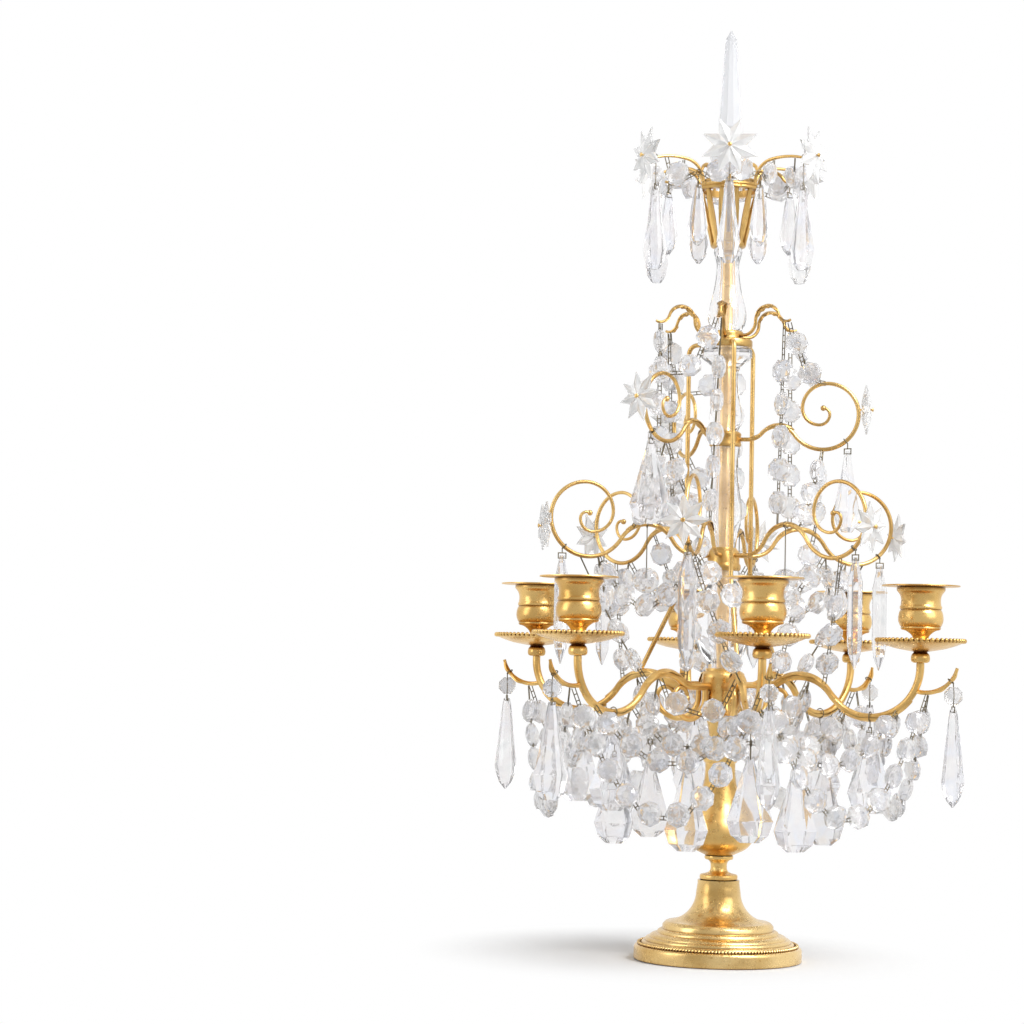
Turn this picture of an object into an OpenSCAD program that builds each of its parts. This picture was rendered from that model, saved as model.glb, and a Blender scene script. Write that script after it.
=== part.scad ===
// Girandole candle holder: an urn foot, six gilt arms and a tower of cut-glass drops
// Millimetres, +Z up, origin in the middle of the foot's underside, front towards -Y

/* [Foot and stem] */
// Radius of the round foot
foot_r = 64; // [62:0.5:68]
// Diameter of the tie rod that clamps the stack
rod_d = 6; // [5:0.25:6.25]
// Radial clearance of bores over rods, pins and studs
clear = 0.3; // [0.25:0.05:0.35]
// Outer diameter of the gilt tube inside the glass stem
tube_d = 9.6; // [9:0.1:10]

/* [Arms and candle cups] */
// Section of the candle arms
arm_d = 6; // [5.4:0.1:6.2]
// Section of the small scroll under each arm
c_d = 4.5; // [4:0.1:4.8]
// Radius of the drip pans
pan_r = 32.5; // [30:0.5:33.5]
// Radius of the candle bore in the nozzles
socket_r = 11.2; // [10.6:0.1:11.4]
// Radius of the nozzle flange
flange_r = 29; // [27:0.5:30]

/* [Scrolls and crown] */
// Wire of the lower and middle scrolls
scroll_d = 3.1; // [2.8:0.1:3.3]
// Wire of the crown arms
crown_d = 2.6; // [2.4:0.1:2.8]
// Width of the crown stars
star_d = 45; // [42:0.5:46]
// Width of the scroll stars
scroll_star_d = 38; // [34:0.5:40]
// Width of the spire at its base
spire_w = 17.5; // [16:0.25:18.5]

/* [Beads and drops] */
// Width of the octagonal beads
bead_d = 17; // [16:0.25:17.5]
// Thickness of the beads
bead_t = 10; // [8:0.25:10.5]
// Wire of the bead links and hooks
wire_d = 0.8; // [0.7:0.05:0.9]
// Length of the lances on the arm prongs
lance_len = 72; // [66:0.5:74]
// Length of the pendeloques
drop_len = 62; // [58:0.5:64]
// Length of the crown drops
crown_len = 64; // [58:0.5:66]

/* [Hidden] */
$fn = 48;

rod_bore = rod_d + 2*clear;
tube_bore = tube_d + 2*clear;

// Angles round the stem, from the front towards the right
arm_a = [10.5, 70.5, 138, 190.5, 250.5, 318];
function arm_n(k) = k == 5 ? arm_a[0] + 360 : arm_a[k + 1];
function arm_m(k) = (arm_a[k] + arm_n(k))/2;
low_a = [for (k = [0:5]) -11.5 + 60*k];
mid_a = [84, 204, 324];
leaf_a = [for (k = [0:5]) 54 + 60*k];
crown_a = [for (k = [0:5]) 60*k];
crown_leaf_a = [for (k = [0:5]) 30 + 60*k];
rod_a = [arm_a[0], arm_a[2], arm_a[4]];

// Levels of the stack
z_spool = 60.8;
z_urn = 79;
z_hub = 157;
z_glass1 = 222;
z_col1 = 297;
z_glass2 = 315;
z_col2 = 393;
z_glass3 = 405;
z_col3 = 470;
z_glass4 = 483;
z_basket = 548;
z_rim = 597;
z_ball = 607;
z_spire = 636;

// Candle cups
cup_R = 156;
arm_z = 208;
pan_z = 229;
cup_z = 240;
lip_z = 285;
stud_d = 5;
cup_bore = socket_r + 1.4;
tube_r = socket_r + 1;

// Scrolls
low_z = 309;
mid_z = 399;
pin_d = 1.6;

// Strings
gap = 0.45;
pitch = 21.5;
bead_w = 4;
hook_d = wire_d + 0.1;
hole_d = hook_d + 0.7;

// Helpers

module at(a) rotate([0, 0, a - 90]) children();

module arc(cx, cz, r, a0, a1, d) {
  translate([cx, 0, cz])
    rotate([90, 0, 0])
      rotate([0, 0, a0])
        rotate_extrude(angle = a1 - a0)
          translate([r, 0])
            circle(d = d);
}

module strip(cx, cz, r, a0, a1, w, t) {
  translate([cx, 0, cz])
    rotate([90, 0, 0])
      rotate([0, 0, a0])
        rotate_extrude(angle = a1 - a0)
          translate([r - t/2, -w/2])
            square([t, w]);
}

module bar(a, b, d) {
  v = b - a;
  translate([a.x, 0, a.y])
    rotate([0, atan2(v.x, v.y), 0])
      cylinder(h = norm(v), d = d);
}

// Bent wire in the radial plane: start, heading, then [radius, turn] arcs; radius 0 means a straight length
function turn_mid(p, h, s) = p + s[0]*sign(s[1])*[-sin(h), cos(h)];
function wire_p(p, h, s) = s[0] == 0 ? p + s[1]*[cos(h), sin(h)]
  : turn_mid(p, h, s) + s[0]*sign(s[1])*[sin(h + s[1]), -cos(h + s[1])];
function wire_h(h, s) = s[0] == 0 ? h : h + s[1];

// Neighbouring lengths stop a little short of each other inside a ball that joins them
module wire(p, h, segs, d, i = 0) {
  if (i < len(segs)) {
    s = segs[i];
    q = wire_p(p, h, s);
    u = [cos(h), sin(h)];
    e0 = i == 0 ? 0 : 0.4;
    e1 = i == len(segs) - 1 ? 0 : 0.4;
    if (s[0] == 0)
      bar(p + u*e0, q - u*e1, d);
    else
      let (c = turn_mid(p, h, s), k = 180/PI/s[0], a = s[1] > 0 ? h - 90 + k*e0 : h + 90 + s[1] + k*e1)
        arc(c.x, c.y, s[0], a, a + abs(s[1]) - k*(e0 + e1), d);
    if (e1 > 0)
      translate([q.x, 0, q.y])
        sphere(d = d + 0.7);
    wire(q, wire_h(h, s), segs, d, i + 1);
  }
}

module turned(pts, bore) {
  rotate_extrude()
    polygon(concat([[bore/2, pts[0].y]], pts, [[bore/2, pts[len(pts) - 1].y]]));
}

module radial_hole(r, z, d) {
  translate([r, 0, z])
    rotate([0, 90, 0])
      cylinder(h = 40, d = d);
}

// A cut drop: six-sided, from stations [level, half width, half thickness]
module cut(st) {
  n = 6;
  m = len(st);
  pts = concat(
    [for (s = st) for (i = [0:n - 1]) [s[2]*sin(60*i + 30)/sin(90), s[1]*cos(60*i + 30)/cos(30), s[0]]],
    [[0, 0, st[0][0]], [0, 0, st[m - 1][0]]]);
  f = concat(
    [for (j = [0:m - 2]) for (i = [0:n - 1]) [j*n + i, (j + 1)*n + i, (j + 1)*n + (i + 1)%n]],
    [for (j = [0:m - 2]) for (i = [0:n - 1]) [j*n + i, (j + 1)*n + (i + 1)%n, j*n + (i + 1)%n]],
    [for (i = [0:n - 1]) [m*n, i, (i + 1)%n]],
    [for (i = [0:n - 1]) [m*n + 1, (m - 1)*n + (i + 1)%n, (m - 1)*n + i]]);
  polyhedron(pts, f);
}

// A hanging drop with its hole at the origin, the hole along the radius
module hung(st) {
  difference() {
    cut(st);
    rotate([0, 90, 0])
      cylinder(h = 20, d = hole_d, center = true);
  }
}

function lance_st(L) = [[2, 2.4, 2], [-3, 3.4, 2.4], [-0.72*L, 8.7, 5], [-0.9*L, 5, 3.4], [2 - L, 0.6, 0.5]];
function drop_st(L, w, t) = [[2, 2.8, 2], [-3, 3.6, 2.4], [-0.72*L, w/2, t/2], [-0.88*L, 0.4*w, 0.4*t],
  [2 - L, 0.2*w, 0.25*t]];

module star(d) {
  n = 16;
  pts = concat(
    [for (i = [0:n - 1]) let (r = i%2 == 0 ? d/2 : 0.27*d)
      [0, r*sin(360/n*i), r*cos(360/n*i)]],
    [[-4, 0, 0], [4, 0, 0]]);
  f = concat(
    [for (i = [0:n - 1]) [n, i, (i + 1)%n]],
    [for (i = [0:n - 1]) [n + 1, (i + 1)%n, i]]);
  difference() {
    polyhedron(pts, f);
    rotate([0, 90, 0])
      cylinder(h = 20, d = pin_d + 2*clear, center = true);
  }
}

// Pin that holds a star: a stem along the radius with a small head
module star_pin(r0, z, rs) {
  bar([r0, z], [rs + 5, z], pin_d);
  translate([rs + 4.6, 0, z])
    rotate([0, 90, 0])
      cylinder(h = 1, d = 3.4);
}

module bead(d, t, w) {
  n = 8;
  k = 0.5/cos(180/n);
  pts = concat(
    [for (s = [-1, 1]) for (i = [0:n - 1])
      [d*k*cos(360/n*(i + 0.5)), s*w/2, d*k*sin(360/n*(i + 0.5))]],
    [[0, -t/2, 0], [0, t/2, 0]]);
  f = concat(
    [for (i = [0:n - 1]) [i, (i + 1)%n, n + (i + 1)%n]],
    [for (i = [0:n - 1]) [i, n + (i + 1)%n, n + i]],
    [for (i = [0:n - 1]) [2*n, (i + 1)%n, i]],
    [for (i = [0:n - 1]) [2*n + 1, n + i, n + (i + 1)%n]]);
  polyhedron(pts, f);
}

// Strings: [start, end, sag, twist, start lead, end lead, start reach, end reach]
// A lead is the wire before the first bead; a reach is the distance kept from the carrier's middle line

function cyl(r, a, z) = [r*sin(a), -r*cos(a), z];
function unit(v) = v/norm(v);
function sagged(s, t) = s[0] + (s[1] - s[0])*t - [0, 0, 4*s[2]*t*(1 - t)];
function run(s, i) = i == 0 ? 0 : run(s, i - 1) + norm(sagged(s, i/24) - sagged(s, (i - 1)/24));
function spots(s) = let (
  tab = [for (i = [0:24]) [run(s, i), i/24]],
  full = tab[24][0],
  free = full - s[4] - s[5],
  n = max(1, floor(free/pitch)))
  [for (k = [0:n - 1]) sagged(s, lookup(s[4] + (k + 0.5)*free/n, tab))];
function chain(s) = concat([s[0]], spots(s), [s[1]]);

module along(p, d, tw) {
  translate(p)
    rotate([0, 0, atan2(d.y, d.x)])
      rotate([0, 90 - asin(d.z), 0])
        rotate([0, 0, tw])
          children();
}

module beads_of(list) {
  for (j = [0:len(list) - 1]) {
    q = chain(list[j]);
    for (k = [1:len(q) - 2])
      along(q[k], unit(q[k + 1] - q[k - 1]), list[j][3] + 24*sin(97*k + 53*j))
        bead(bead_d, bead_t, bead_w);
  }
}

// A link is shorter where the string bends, so that it stays clear of the bead ends
link_half = 1.3;
lead_gap = gap + 0.9;
function bend(u, t) = min(3, (link_half + wire_d/2 + 0.2)*tan(acos(min(1, u*unit(t)))));

module ladder(h) {
  for (s = [-1, 1])
    translate([link_half*s, 0, -h/2])
      cylinder(h = h, d = wire_d);
  translate([-link_half, 0, 0])
    rotate([0, 90, 0])
      cylinder(h = 2*link_half, d = wire_d);
}

module lead(a, b, reach) {
  v = b - a;
  u = unit(v);
  along(a + u*reach, u, 0)
    cylinder(h = norm(v) - reach - lead_gap, d = wire_d);
}

module links_of(list) {
  for (j = [0:len(list) - 1]) {
    s = list[j];
    q = chain(s);
    n = len(q) - 2;
    t = [for (k = [1:n]) unit(q[k + 1] - q[k - 1])*bead_d/2];
    lead(q[0], q[1] - t[0], s[6]);
    lead(q[n + 1], q[n] + t[n - 1], s[7]);
    if (n > 1)
      for (k = [1:n - 1])
        let (e = q[k] + t[k - 1], g = q[k + 1] - t[k], u = unit(g - e))
          along((e + g)/2, u, s[3])
            ladder(norm(g - e) - 2*(gap + max(bend(u, t[k - 1]), bend(u, t[k]))));
  }
}

// Hook: a ring round the carrier, a stem and a yoke whose pin goes through the drop
module hook(cx, cz, slope, wr, zp, tw) {
  rr = wr + 0.35 + hook_d/2;
  sx = cx + rr*sin(slope);
  sz = cz - rr*cos(slope);
  translate([cx, 0, cz])
    rotate([0, 90 - slope, 0])
      rotate_extrude()
        translate([rr, 0])
          circle(d = hook_d);
  yoke(sx, sz, zp, tw);
}
module yoke(sx, sz, zp, tw) {
  bar([sx, zp + 4], [sx, sz], hook_d);
  translate([sx, 0, 0])
    rotate([0, 0, tw]) {
      bar([-3.4, zp + 4], [3.4, zp + 4], hook_d);
      for (s = [-1, 1])
        bar([3*s, zp], [3*s, zp + 4], hook_d);
      bar([-3.4, zp], [3.4, zp], hook_d);
    }
}

// A hanging piece turns its broad face to the front: the turn of its hook at an angle round the stem
function face(a, part) = -part*((a + 810)%180 - 90);

// Hook whose ring goes round the middle link of a swag
module swag_hook(c, zp, tw) {
  rr = 2.9;
  cr = norm([c.x, c.y]);
  translate([cr, 0, c.z])
    rotate([90, 0, 0])
      rotate_extrude()
        translate([rr, 0])
          circle(d = hook_d);
  yoke(cr, c.z - rr, zp, tw);
}
function swag_mid(s) = let (
  q = chain(s),
  i = (len(q) - 2)/2,
  e = q[i] + unit(q[i + 1] - q[i - 1])*bead_d/2,
  g = q[i + 1] - unit(q[i + 2] - q[i])*bead_d/2)
  (e + g)/2;
function hook_x(cx, slope, wr) = cx + (wr + 0.35 + hook_d/2)*sin(slope);

// Hook whose stem ends in the drilled top of a ball
ball_z = 288;
module ball_hook() {
  rr = scroll_d/2 + 0.35 + hook_d/2;
  translate([61.8, 0, low_z + 22])
    rotate([0, 90, 0])
      rotate_extrude()
        translate([rr, 0])
          circle(d = hook_d);
  bar([61.8, ball_z + 1], [61.8, low_z + 22 - rr], hook_d);
}

// Where the drops hang: [middle line R, Z, slope, carrier radius, pin level]
prong_d = 3.6;
lance_h = [cup_R + 4 + 25*cos(-40), 232 + 25*sin(-40), 50, prong_d/2, 193];
arm_h = [cup_R - 38, 188, 0, arm_d/2, 176];
front_h = [cup_R - 38, 188, 0, arm_d/2, 157];
crown_h = [65.07, 613.2, 0, crown_d/2, 588];
scroll_h = [75.2 + 27*cos(-50), 418.4 + 27*sin(-50), 40, scroll_d/2, 388];
spear_h = [108 + 30*cos(-50), low_z + 26 + 30*sin(-50), 40, scroll_d/2, 303];
pear_h = [46.86, 600, 0, 1.2, 588];
low_swag_z = 193.1 - 30;
function hx(h) = hook_x(h[0], h[2], h[3]);

// The bead strings
deep = [for (k = [0:5]) [cyl(cup_R + 6, arm_a[k] + 0.45, 207.1), cyl(cup_R + 6, arm_n(k) - 0.45, 207.1),
  92, 0,
  13, 13, prong_d/2 + gap, prong_d/2 + gap]];
shallow = [for (k = [0:5]) [cyl(cup_R - 57, arm_a[k] + 0.3, 193.1), cyl(cup_R - 57, arm_n(k) - 0.3, 193.1),
  30, 0,
  swag_lead(k), swag_lead(k), arm_d/2 + gap, arm_d/2 + gap]];
function swag_lead(k) = arm_n(k) - arm_a[k] > 62 ? 15 : 7;
arm_swags = [for (k = [0:5]) [cyl(cup_R - 16, arm_a[k] + 0.2, 195), cyl(cup_R - 16, arm_n(k) - 0.2, 195),
  42, 0, 8, 8, arm_d/2 + gap + 1.3, arm_d/2 + gap + 1.3]];
inner_swags = [for (k = [0:5]) [cyl(cup_R - 86, arm_a[k] + 0.4, 216), cyl(cup_R - 86, arm_n(k) - 0.4, 216),
  30, 0,
  9, 16, arm_d/2 + gap + 0.1, arm_d/2 + gap + 0.1]];
crown_swags = [for (k = [0:5]) for (s = [-1, 1])
  [cyl(48.5 + 8.5*s, crown_a[k] + 1.5*s, 615), cyl(46.86, crown_a[k] + 30*s - 2*s, 600), 9, 0,
  8, 8, crown_d/2 + gap, 1.2 + gap]];
leaf_strings = [for (k = [0:2]) for (s = [-1, 1])
  [cyl(57, mid_a[k] + 30*s - 1.8*s, 487.1), cyl(78.2, mid_a[k] + 2*s, 442.4), 14, 30,
  5, 6, 1.3 + gap, scroll_d/2 + gap]];
tall_strings = [for (k = [0:5])
  [cyl(55.1, leaf_a[k] + 3.4*(k%2) - 1.7, 487.1), cyl(53.6, low_a[k] + 60, low_z + 20.5), 0, 80,
  26, 6, 1.3 + gap, scroll_d/2 + gap]];
mid_strings = [for (k = [0:2]) for (s = [-35.5, 24.5])
  [cyl(75.2, mid_a[k] + 0.5*sign(s), 391.4), cyl(73.8, mid_a[k] + s - 0.2*sign(s), low_z + 18.8), 6, 20,
  9, 4.4, scroll_d/2 + gap, scroll_d/2 + gap]];
low_strings = [for (k = [0:5])
  [cyl(115, low_a[k], low_z - 3.2), cyl(81.6, arm_a[k], 210), 5, 60,
  26, 8, scroll_d/2 + gap, arm_d/2 + gap]];
low_swags = [for (k = [0:5])
  [cyl(100.2, low_a[k] + 0.3, low_z - 3), cyl(100.2, low_a[k] + 59.7, low_z - 3), 38, 0,
  6, 6, scroll_d/2 + gap, scroll_d/2 + gap]];
cascades = [for (k = [0, 2, 4])
  [cyl(74, low_a[k] - 0.3, low_z + 18.7), cyl(42, arm_a[(k + 5)%6] + 0.4, 209.9), 2, 45,
  6, 8.5, scroll_d/2 + gap, arm_d/2 + gap + 1.8]];
swags = concat(deep, shallow, arm_swags, inner_swags);
strings = concat(crown_swags, leaf_strings, tall_strings, mid_strings, low_strings, low_swags, cascades);
swag_c = [for (k = [0:5]) swag_mid(shallow[k])];
swag_pin = low_swag_z - bead_d/2 - 7;

// Small beads threaded on hook stems
module small_bead(d, t) {
  difference() {
    rotate([0, 0, 90])
      bead(d, t, 3.4);
    cylinder(h = 40, d = hole_d, center = true);
  }
}

// Foot, stem and hub

// The stepped rim follows the foot radius, the bell on it keeps its own
function rim(r) = 42 + (r - 42)*(foot_r - 42)/22;

module foot() color([0.78, 0.58, 0.24]) {
  difference() {
    rotate_extrude()
      difference() {
        polygon([[rod_bore/2, 0], [foot_r, 0], [foot_r, 9], [foot_r - 1.5, 11], [rim(58.6), 11.6], [rim(57.4), 14],
          [rim(55.2), 14.6], [rim(54.4), 16.8], [rim(52), 17.4], [rim(50.4), 19.4], [rim(46), 21],
          [rim(44), 23.4], [rim(42.2), 24], [42, 27],
          [40, 29], [40, 52], [17, 52], [16, 58], [16, z_spool], [rod_bore/2, z_spool]]);
        translate([40, 52])
          circle(r = 23, $fn = 96);
      }
    rotate_extrude()
      difference() {
        polygon([[0, -1], [foot_r - 2.5, -1], [foot_r - 2.5, 8], [rim(56), 9.4], [rim(50), 15.4], [42, 19.4],
          [39, 22.5], [38.5, 52], [15, 52], [14, 57.3], [0, 57.3]]);
        translate([40, 52])
          circle(r = 25, $fn = 96);
      }
  }
  rotate_extrude()
    translate([rim(60.4), 11.7])
      circle(d = 2.6);
}

module rod_nuts() color([0.72, 0.54, 0.24]) {
  for (z = [52.3, z_basket + 4])
    difference() {
      translate([0, 0, z])
        linear_extrude(5)
          circle(d = 12, $fn = 6);
      translate([0, 0, z - 1])
        cylinder(h = 8, d = rod_bore);
    }
}

module tie_rod() color([0.62, 0.62, 0.6]) {
  translate([0, 0, 48])
    cylinder(h = 614 - 48, d = rod_d);
  translate([0, 0, z_ball - 3])
    cylinder(h = 3, d = 12);
}

module neck_spool() color([0.8, 0.6, 0.25])
  turned([[13.5, z_spool], [14.5, 62], [14.5, 63.8], [13.5, 64.8], [8, 66.4], [6.4, 68], [6.2, 71],
    [6.8, 74.6], [9.5, 76.4], [11, 77.2], [11, z_urn]], rod_bore);

module urn() color([0.8, 0.6, 0.25])
  turned([[10, z_urn], [12.8, 80.8], [20.2, 84.2], [24.4, 88.6], [26.2, 93], [26.5, 97], [25.7, 101.6],
    [23.4, 106.6], [20, 112], [16.6, 119], [14, 128], [12.4, 135], [11.5, 142], [11.5, 150], [13.3, 152],
    [13.3, z_hub]], rod_bore);

module arm_hub() color([0.8, 0.6, 0.25])
  difference() {
    turned([[10, z_hub], [9, 161], [8.8, 170], [10.5, 180], [13.6, 190], [15, 197], [15, 217], [13.5, 219],
      [12.4, 220], [12.4, z_glass1]], rod_bore);
    for (a = arm_a)
      at(a)
        radial_hole(8, arm_z, arm_d + 2*clear);
  }

// Candle arms

module candle_arms() color([0.8, 0.6, 0.25])
  for (a = arm_a)
    at(a) {
      wire([8.4, arm_z], 0, [[0, cup_R - 130.8], [20, 35], [30, -90], [38, 145], [0, 2.9]], arm_d);
      bar([cup_R, pan_z - 2], [cup_R, cup_z + 13], stud_d);
      wire([18.6, arm_z], -90, [[0, 8], [17, 180], [7, 190]], c_d);
      arc(cup_R + 4, 232, 25, 248, 345, prong_d);
    }

module drip_pans() color([0.8, 0.6, 0.25])
  for (a = arm_a)
    at(a)
      translate([cup_R, 0, 0]) {
        turned([[5, pan_z], [7, 231], [7, 235.6], [5, 237.4], [9, 238], [18, 239.6], [26, 242],
          [pan_r, 244.6], [pan_r, 246], [25.4, 243.6], [17.6, 241.2], [9, cup_z], [4.8, cup_z]],
          stud_d + 2*clear);
        rotate_extrude()
          translate([pan_r + 0.2, 245.6])
            circle(d = 2.8);
      }

module candle_cups() color([0.82, 0.62, 0.27])
  for (a = arm_a)
    at(a)
      translate([cup_R, 0, 0])
        difference() {
          rotate_extrude()
            polygon([[0, cup_z], [7.4, cup_z], [7.4, 242.4], [5.6, 243.6], [5.4, 246], [7, 249.6], [11, 253],
              [14.6, 254.2], [14.6, 255.6], [15.6, 256.6], [16.6, 261], [16.4, 266], [15, 269], [15.4, 270],
              [15.4, 271.6], [14.8, 273], [14.8, 276], [15.6, 279.6], [18, 282.4], [18, lip_z], [0, lip_z]]);
          translate([0, 0, lip_z - 28])
            cylinder(h = 40, r = cup_bore);
          translate([0, 0, cup_z - 1])
            cylinder(h = 15, d = stud_d + 2*clear);
        }

module nozzle(k) color([0.84, 0.64, 0.28])
  at(arm_a[k - 1])
    translate([cup_R, 0, 0])
      difference() {
        union() {
          translate([0, 0, lip_z - 26.6])
            cylinder(h = 27.4, r = tube_r);
          translate([0, 0, lip_z + 0.4])
            cylinder(h = 1.4, r = flange_r);
        }
        translate([0, 0, lip_z - 22.8])
          cylinder(h = 40, r = socket_r);
      }

// Glass stem

module stem_tube() color([0.82, 0.62, 0.27])
  difference() {
    translate([0, 0, z_glass1])
      cylinder(h = z_basket - z_glass1, d = tube_d);
    translate([0, 0, z_glass1 - 1])
      cylinder(h = z_basket - z_glass1 + 2, d = rod_bore);
  }

module lower_glass() color([0.86, 0.88, 0.9])
  turned([[11.6, z_glass1], [12, 226], [16, 232], [20.4, 243], [22, 257], [20.2, 271], [15.4, 283],
    [11, 290], [12.4, 293], [12.4, z_col1]], tube_bore);

module middle_glass() color([0.86, 0.88, 0.9])
  turned([[9, z_glass2], [9.4, 320], [12, 330], [14, 341], [12.6, 354], [10.2, 368], [9.2, 379], [10.4, 387],
    [11.4, z_col2]], tube_bore);

module upper_glass() color([0.86, 0.88, 0.9])
  turned([[9.4, z_glass3], [12, 411], [12.6, 417], [11, 426], [9.2, 438], [8.8, 448], [11, 456], [18, 461],
    [20, 463], [20, 468.4], [18.4, z_col3]], tube_bore);

module top_glass() color([0.86, 0.88, 0.9])
  turned([[10.6, z_glass4], [14, 488], [15, 494], [13.6, 503], [10.6, 516], [8.9, 529], [8.7, 536], [10, 541],
    [11, 545], [10.6, z_basket]], tube_bore);

module lower_collar() color([0.8, 0.6, 0.25])
  difference() {
    turned([[12, z_col1], [13.4, 299], [13.4, 302], [12.4, 303], [12.4, 312], [11, 313], [9.6, z_glass2]], tube_bore);
    for (a = low_a)
      at(a)
        radial_hole(6.4, low_z, scroll_d + 2*clear);
  }

module middle_collar() color([0.8, 0.6, 0.25])
  difference() {
    turned([[11, z_col2], [12.4, 394.4], [12.4, 403.4], [10.4, z_glass3]], tube_bore);
    for (a = mid_a)
      at(a)
        radial_hole(6.4, mid_z, scroll_d + 2*clear);
  }

module upper_collar() color([0.8, 0.6, 0.25])
  difference() {
    turned([[18.4, z_col3], [20, 471], [20, 475.4], [18.6, 476.4], [13, 476.6], [13, 482], [12, z_glass4]], tube_bore);
    for (a = rod_a)
      at(a)
        radial_hole(10, 473.2, 3.5 + 2*clear);
    for (a = leaf_a)
      at(a)
        radial_hole(6.4, 479.2, 2.6 + 2*clear);
  }

module cage_rods() color([0.8, 0.6, 0.25])
  for (a = rod_a)
    at(a)
      wire([10.4, 473.2], 0, [[0, 13.6], [7, -90], [0, 166.2], [40, 27], [0, 67.9]], 3.5);

module lower_scrolls() color([0.84, 0.64, 0.28])
  for (a = low_a)
    at(a) {
      wire([6.8, low_z], 0, [[0, 16.9], [20, 60], [24, -118.8], [30, 148.8], [27, 90], [22, 90], [16, 90],
        [10, 90], [5, 120]], scroll_d);
      star_pin(136.6, low_z + 18.2, 142.8);
    }

module middle_scrolls() color([0.84, 0.64, 0.28])
  for (a = mid_a)
    at(a) {
      wire([6.8, mid_z], 0, [[0, 11.2], [13, 50], [16, -104.4], [27, 144.4], [24, 90], [19, 90], [13, 90],
        [8, 90], [5, 90]], scroll_d);
      star_pin(101.8, 422, 108);
    }

module leaf_arms() color([0.8, 0.6, 0.25])
  for (a = leaf_a)
    at(a) {
      wire([6.8, 479.2], 0, [[0, 10.2], [10, 90], [11, -162], [8, 97]], 2.6);
      strip(38, 489.2, 11, 30, 170, 8, 1.6);
    }

// Crown

module crown_basket() color([0.8, 0.6, 0.25])
  difference() {
    union() {
      turned([[11, z_basket], [13.5, z_basket + 1.4], [13.5, z_basket + 4]], rod_bore);
      for (k = [0:11])
        at(30*k + 15)
          bar([12.2, z_basket + 2], [22.6, z_rim - 3], 3.2);
      translate([0, 0, z_rim - 5])
        difference() {
          cylinder(h = 5, r = 26);
          translate([0, 0, -1])
            cylinder(h = 8, r = 20);
        }
    }
    for (k = [0:11])
      at(30*k)
        translate([23, 0, z_rim - 4])
          cylinder(h = 10, d = crown_d + 2*clear);
  }

module crown_arms() color([0.84, 0.64, 0.28])
  for (a = crown_a)
    at(a) {
      wire([23, z_rim - 3.6], 90, [[0, 4.6], [17, -80], [60, -25], [8, 37]], crown_d);
      star_pin(66.6, 613.7, 73.4);
    }

module crown_leaves() color([0.8, 0.6, 0.25])
  for (a = crown_leaf_a)
    at(a) {
      wire([23, z_rim - 3.6], 90, [[0, 4.6], [10, -150], [6, 90]], 2.4);
      strip(33, 598, 10, 40, 140, 6.4, 1.4);
    }

module stars() color([0.88, 0.9, 0.92]) {
  for (a = crown_a)
    at(a)
      translate([73.4, 0, 613.7])
        star(star_d);
  for (a = mid_a)
    at(a)
      translate([108, 0, 422])
        star(scroll_star_d);
  for (a = low_a)
    at(a)
      translate([142.8, 0, low_z + 18.2])
        star(scroll_star_d);
}

module glass_ball() color([0.86, 0.88, 0.9])
  difference() {
    translate([0, 0, z_ball + 14.5])
      sphere(r = 15.5);
    translate([0, 0, z_ball - 10])
      cylinder(h = 10, d = 40);
    translate([0, 0, z_spire])
      cylinder(h = 10, d = 40);
    translate([0, 0, z_ball - 1])
      cylinder(h = 9, d = rod_bore);
    translate([0, 0, z_spire - 8])
      cylinder(h = 20, d = 5);
  }

module spire() color([0.86, 0.88, 0.9]) {
  c = 0.29;
  st = [[641, spire_w*0.4], [643, spire_w/2], [713, 4.6], [720, 0.5]];
  pts = [for (s = st) for (i = [0:3]) for (e = [-1, 1]) let (r = s[1])
    i == 0 ? [r, e*r*c, s[0]] : i == 1 ? [-e*r*c, r, s[0]] : i == 2 ? [-r, -e*r*c, s[0]] : [e*r*c, -r, s[0]]];
  f = concat(
    [for (j = [0:2]) for (i = [0:7]) [j*8 + i, (j + 1)*8 + (i + 1)%8, j*8 + (i + 1)%8]],
    [for (j = [0:2]) for (i = [0:7]) [j*8 + i, (j + 1)*8 + i, (j + 1)*8 + (i + 1)%8]],
    [[for (i = [0:7]) i]],
    [[for (i = [0:7]) 31 - i]]);
  polyhedron(pts, f);
  translate([0, 0, z_spire])
    cylinder(h = 6, r = 4.6);
  translate([0, 0, z_spire - 7.6])
    cylinder(h = 9, d = 4.4);
}

// Drops that share a node

module spear_drops() color([0.88, 0.9, 0.92])
  for (a = low_a)
    at(a)
      translate([hx(spear_h), 0, spear_h[4]])
        hung([[2, 2.4, 2], [-3, 3.4, 2.4], [-16, 6.4, 5], [-66, 6.4, 5], [-80, 0.6, 0.5]]);

module pear_drops() color([0.88, 0.9, 0.92])
  for (a = crown_leaf_a)
    at(a)
      translate([hx(pear_h), 0, pear_h[4]])
        rotate([0, 0, face(a, 0.7)])
          hung([[2, 2.4, 2], [-3, 3.4, 2.4], [-30, 7.5, 4.5], [-40, 5, 3.4], [-45, 1.4, 1]]);

module swag_pendeloques() color([0.88, 0.9, 0.92])
  for (k = [0:5])
    at(arm_m(k))
      translate([norm([swag_c[k].x, swag_c[k].y]), 0, swag_pin])
        rotate([0, 0, face(arm_m(k), 0.7)])
          hung(drop_st(drop_len, 32, 11));

module swag_beads() color([0.9, 0.92, 0.94])
  beads_of(swags);

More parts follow.
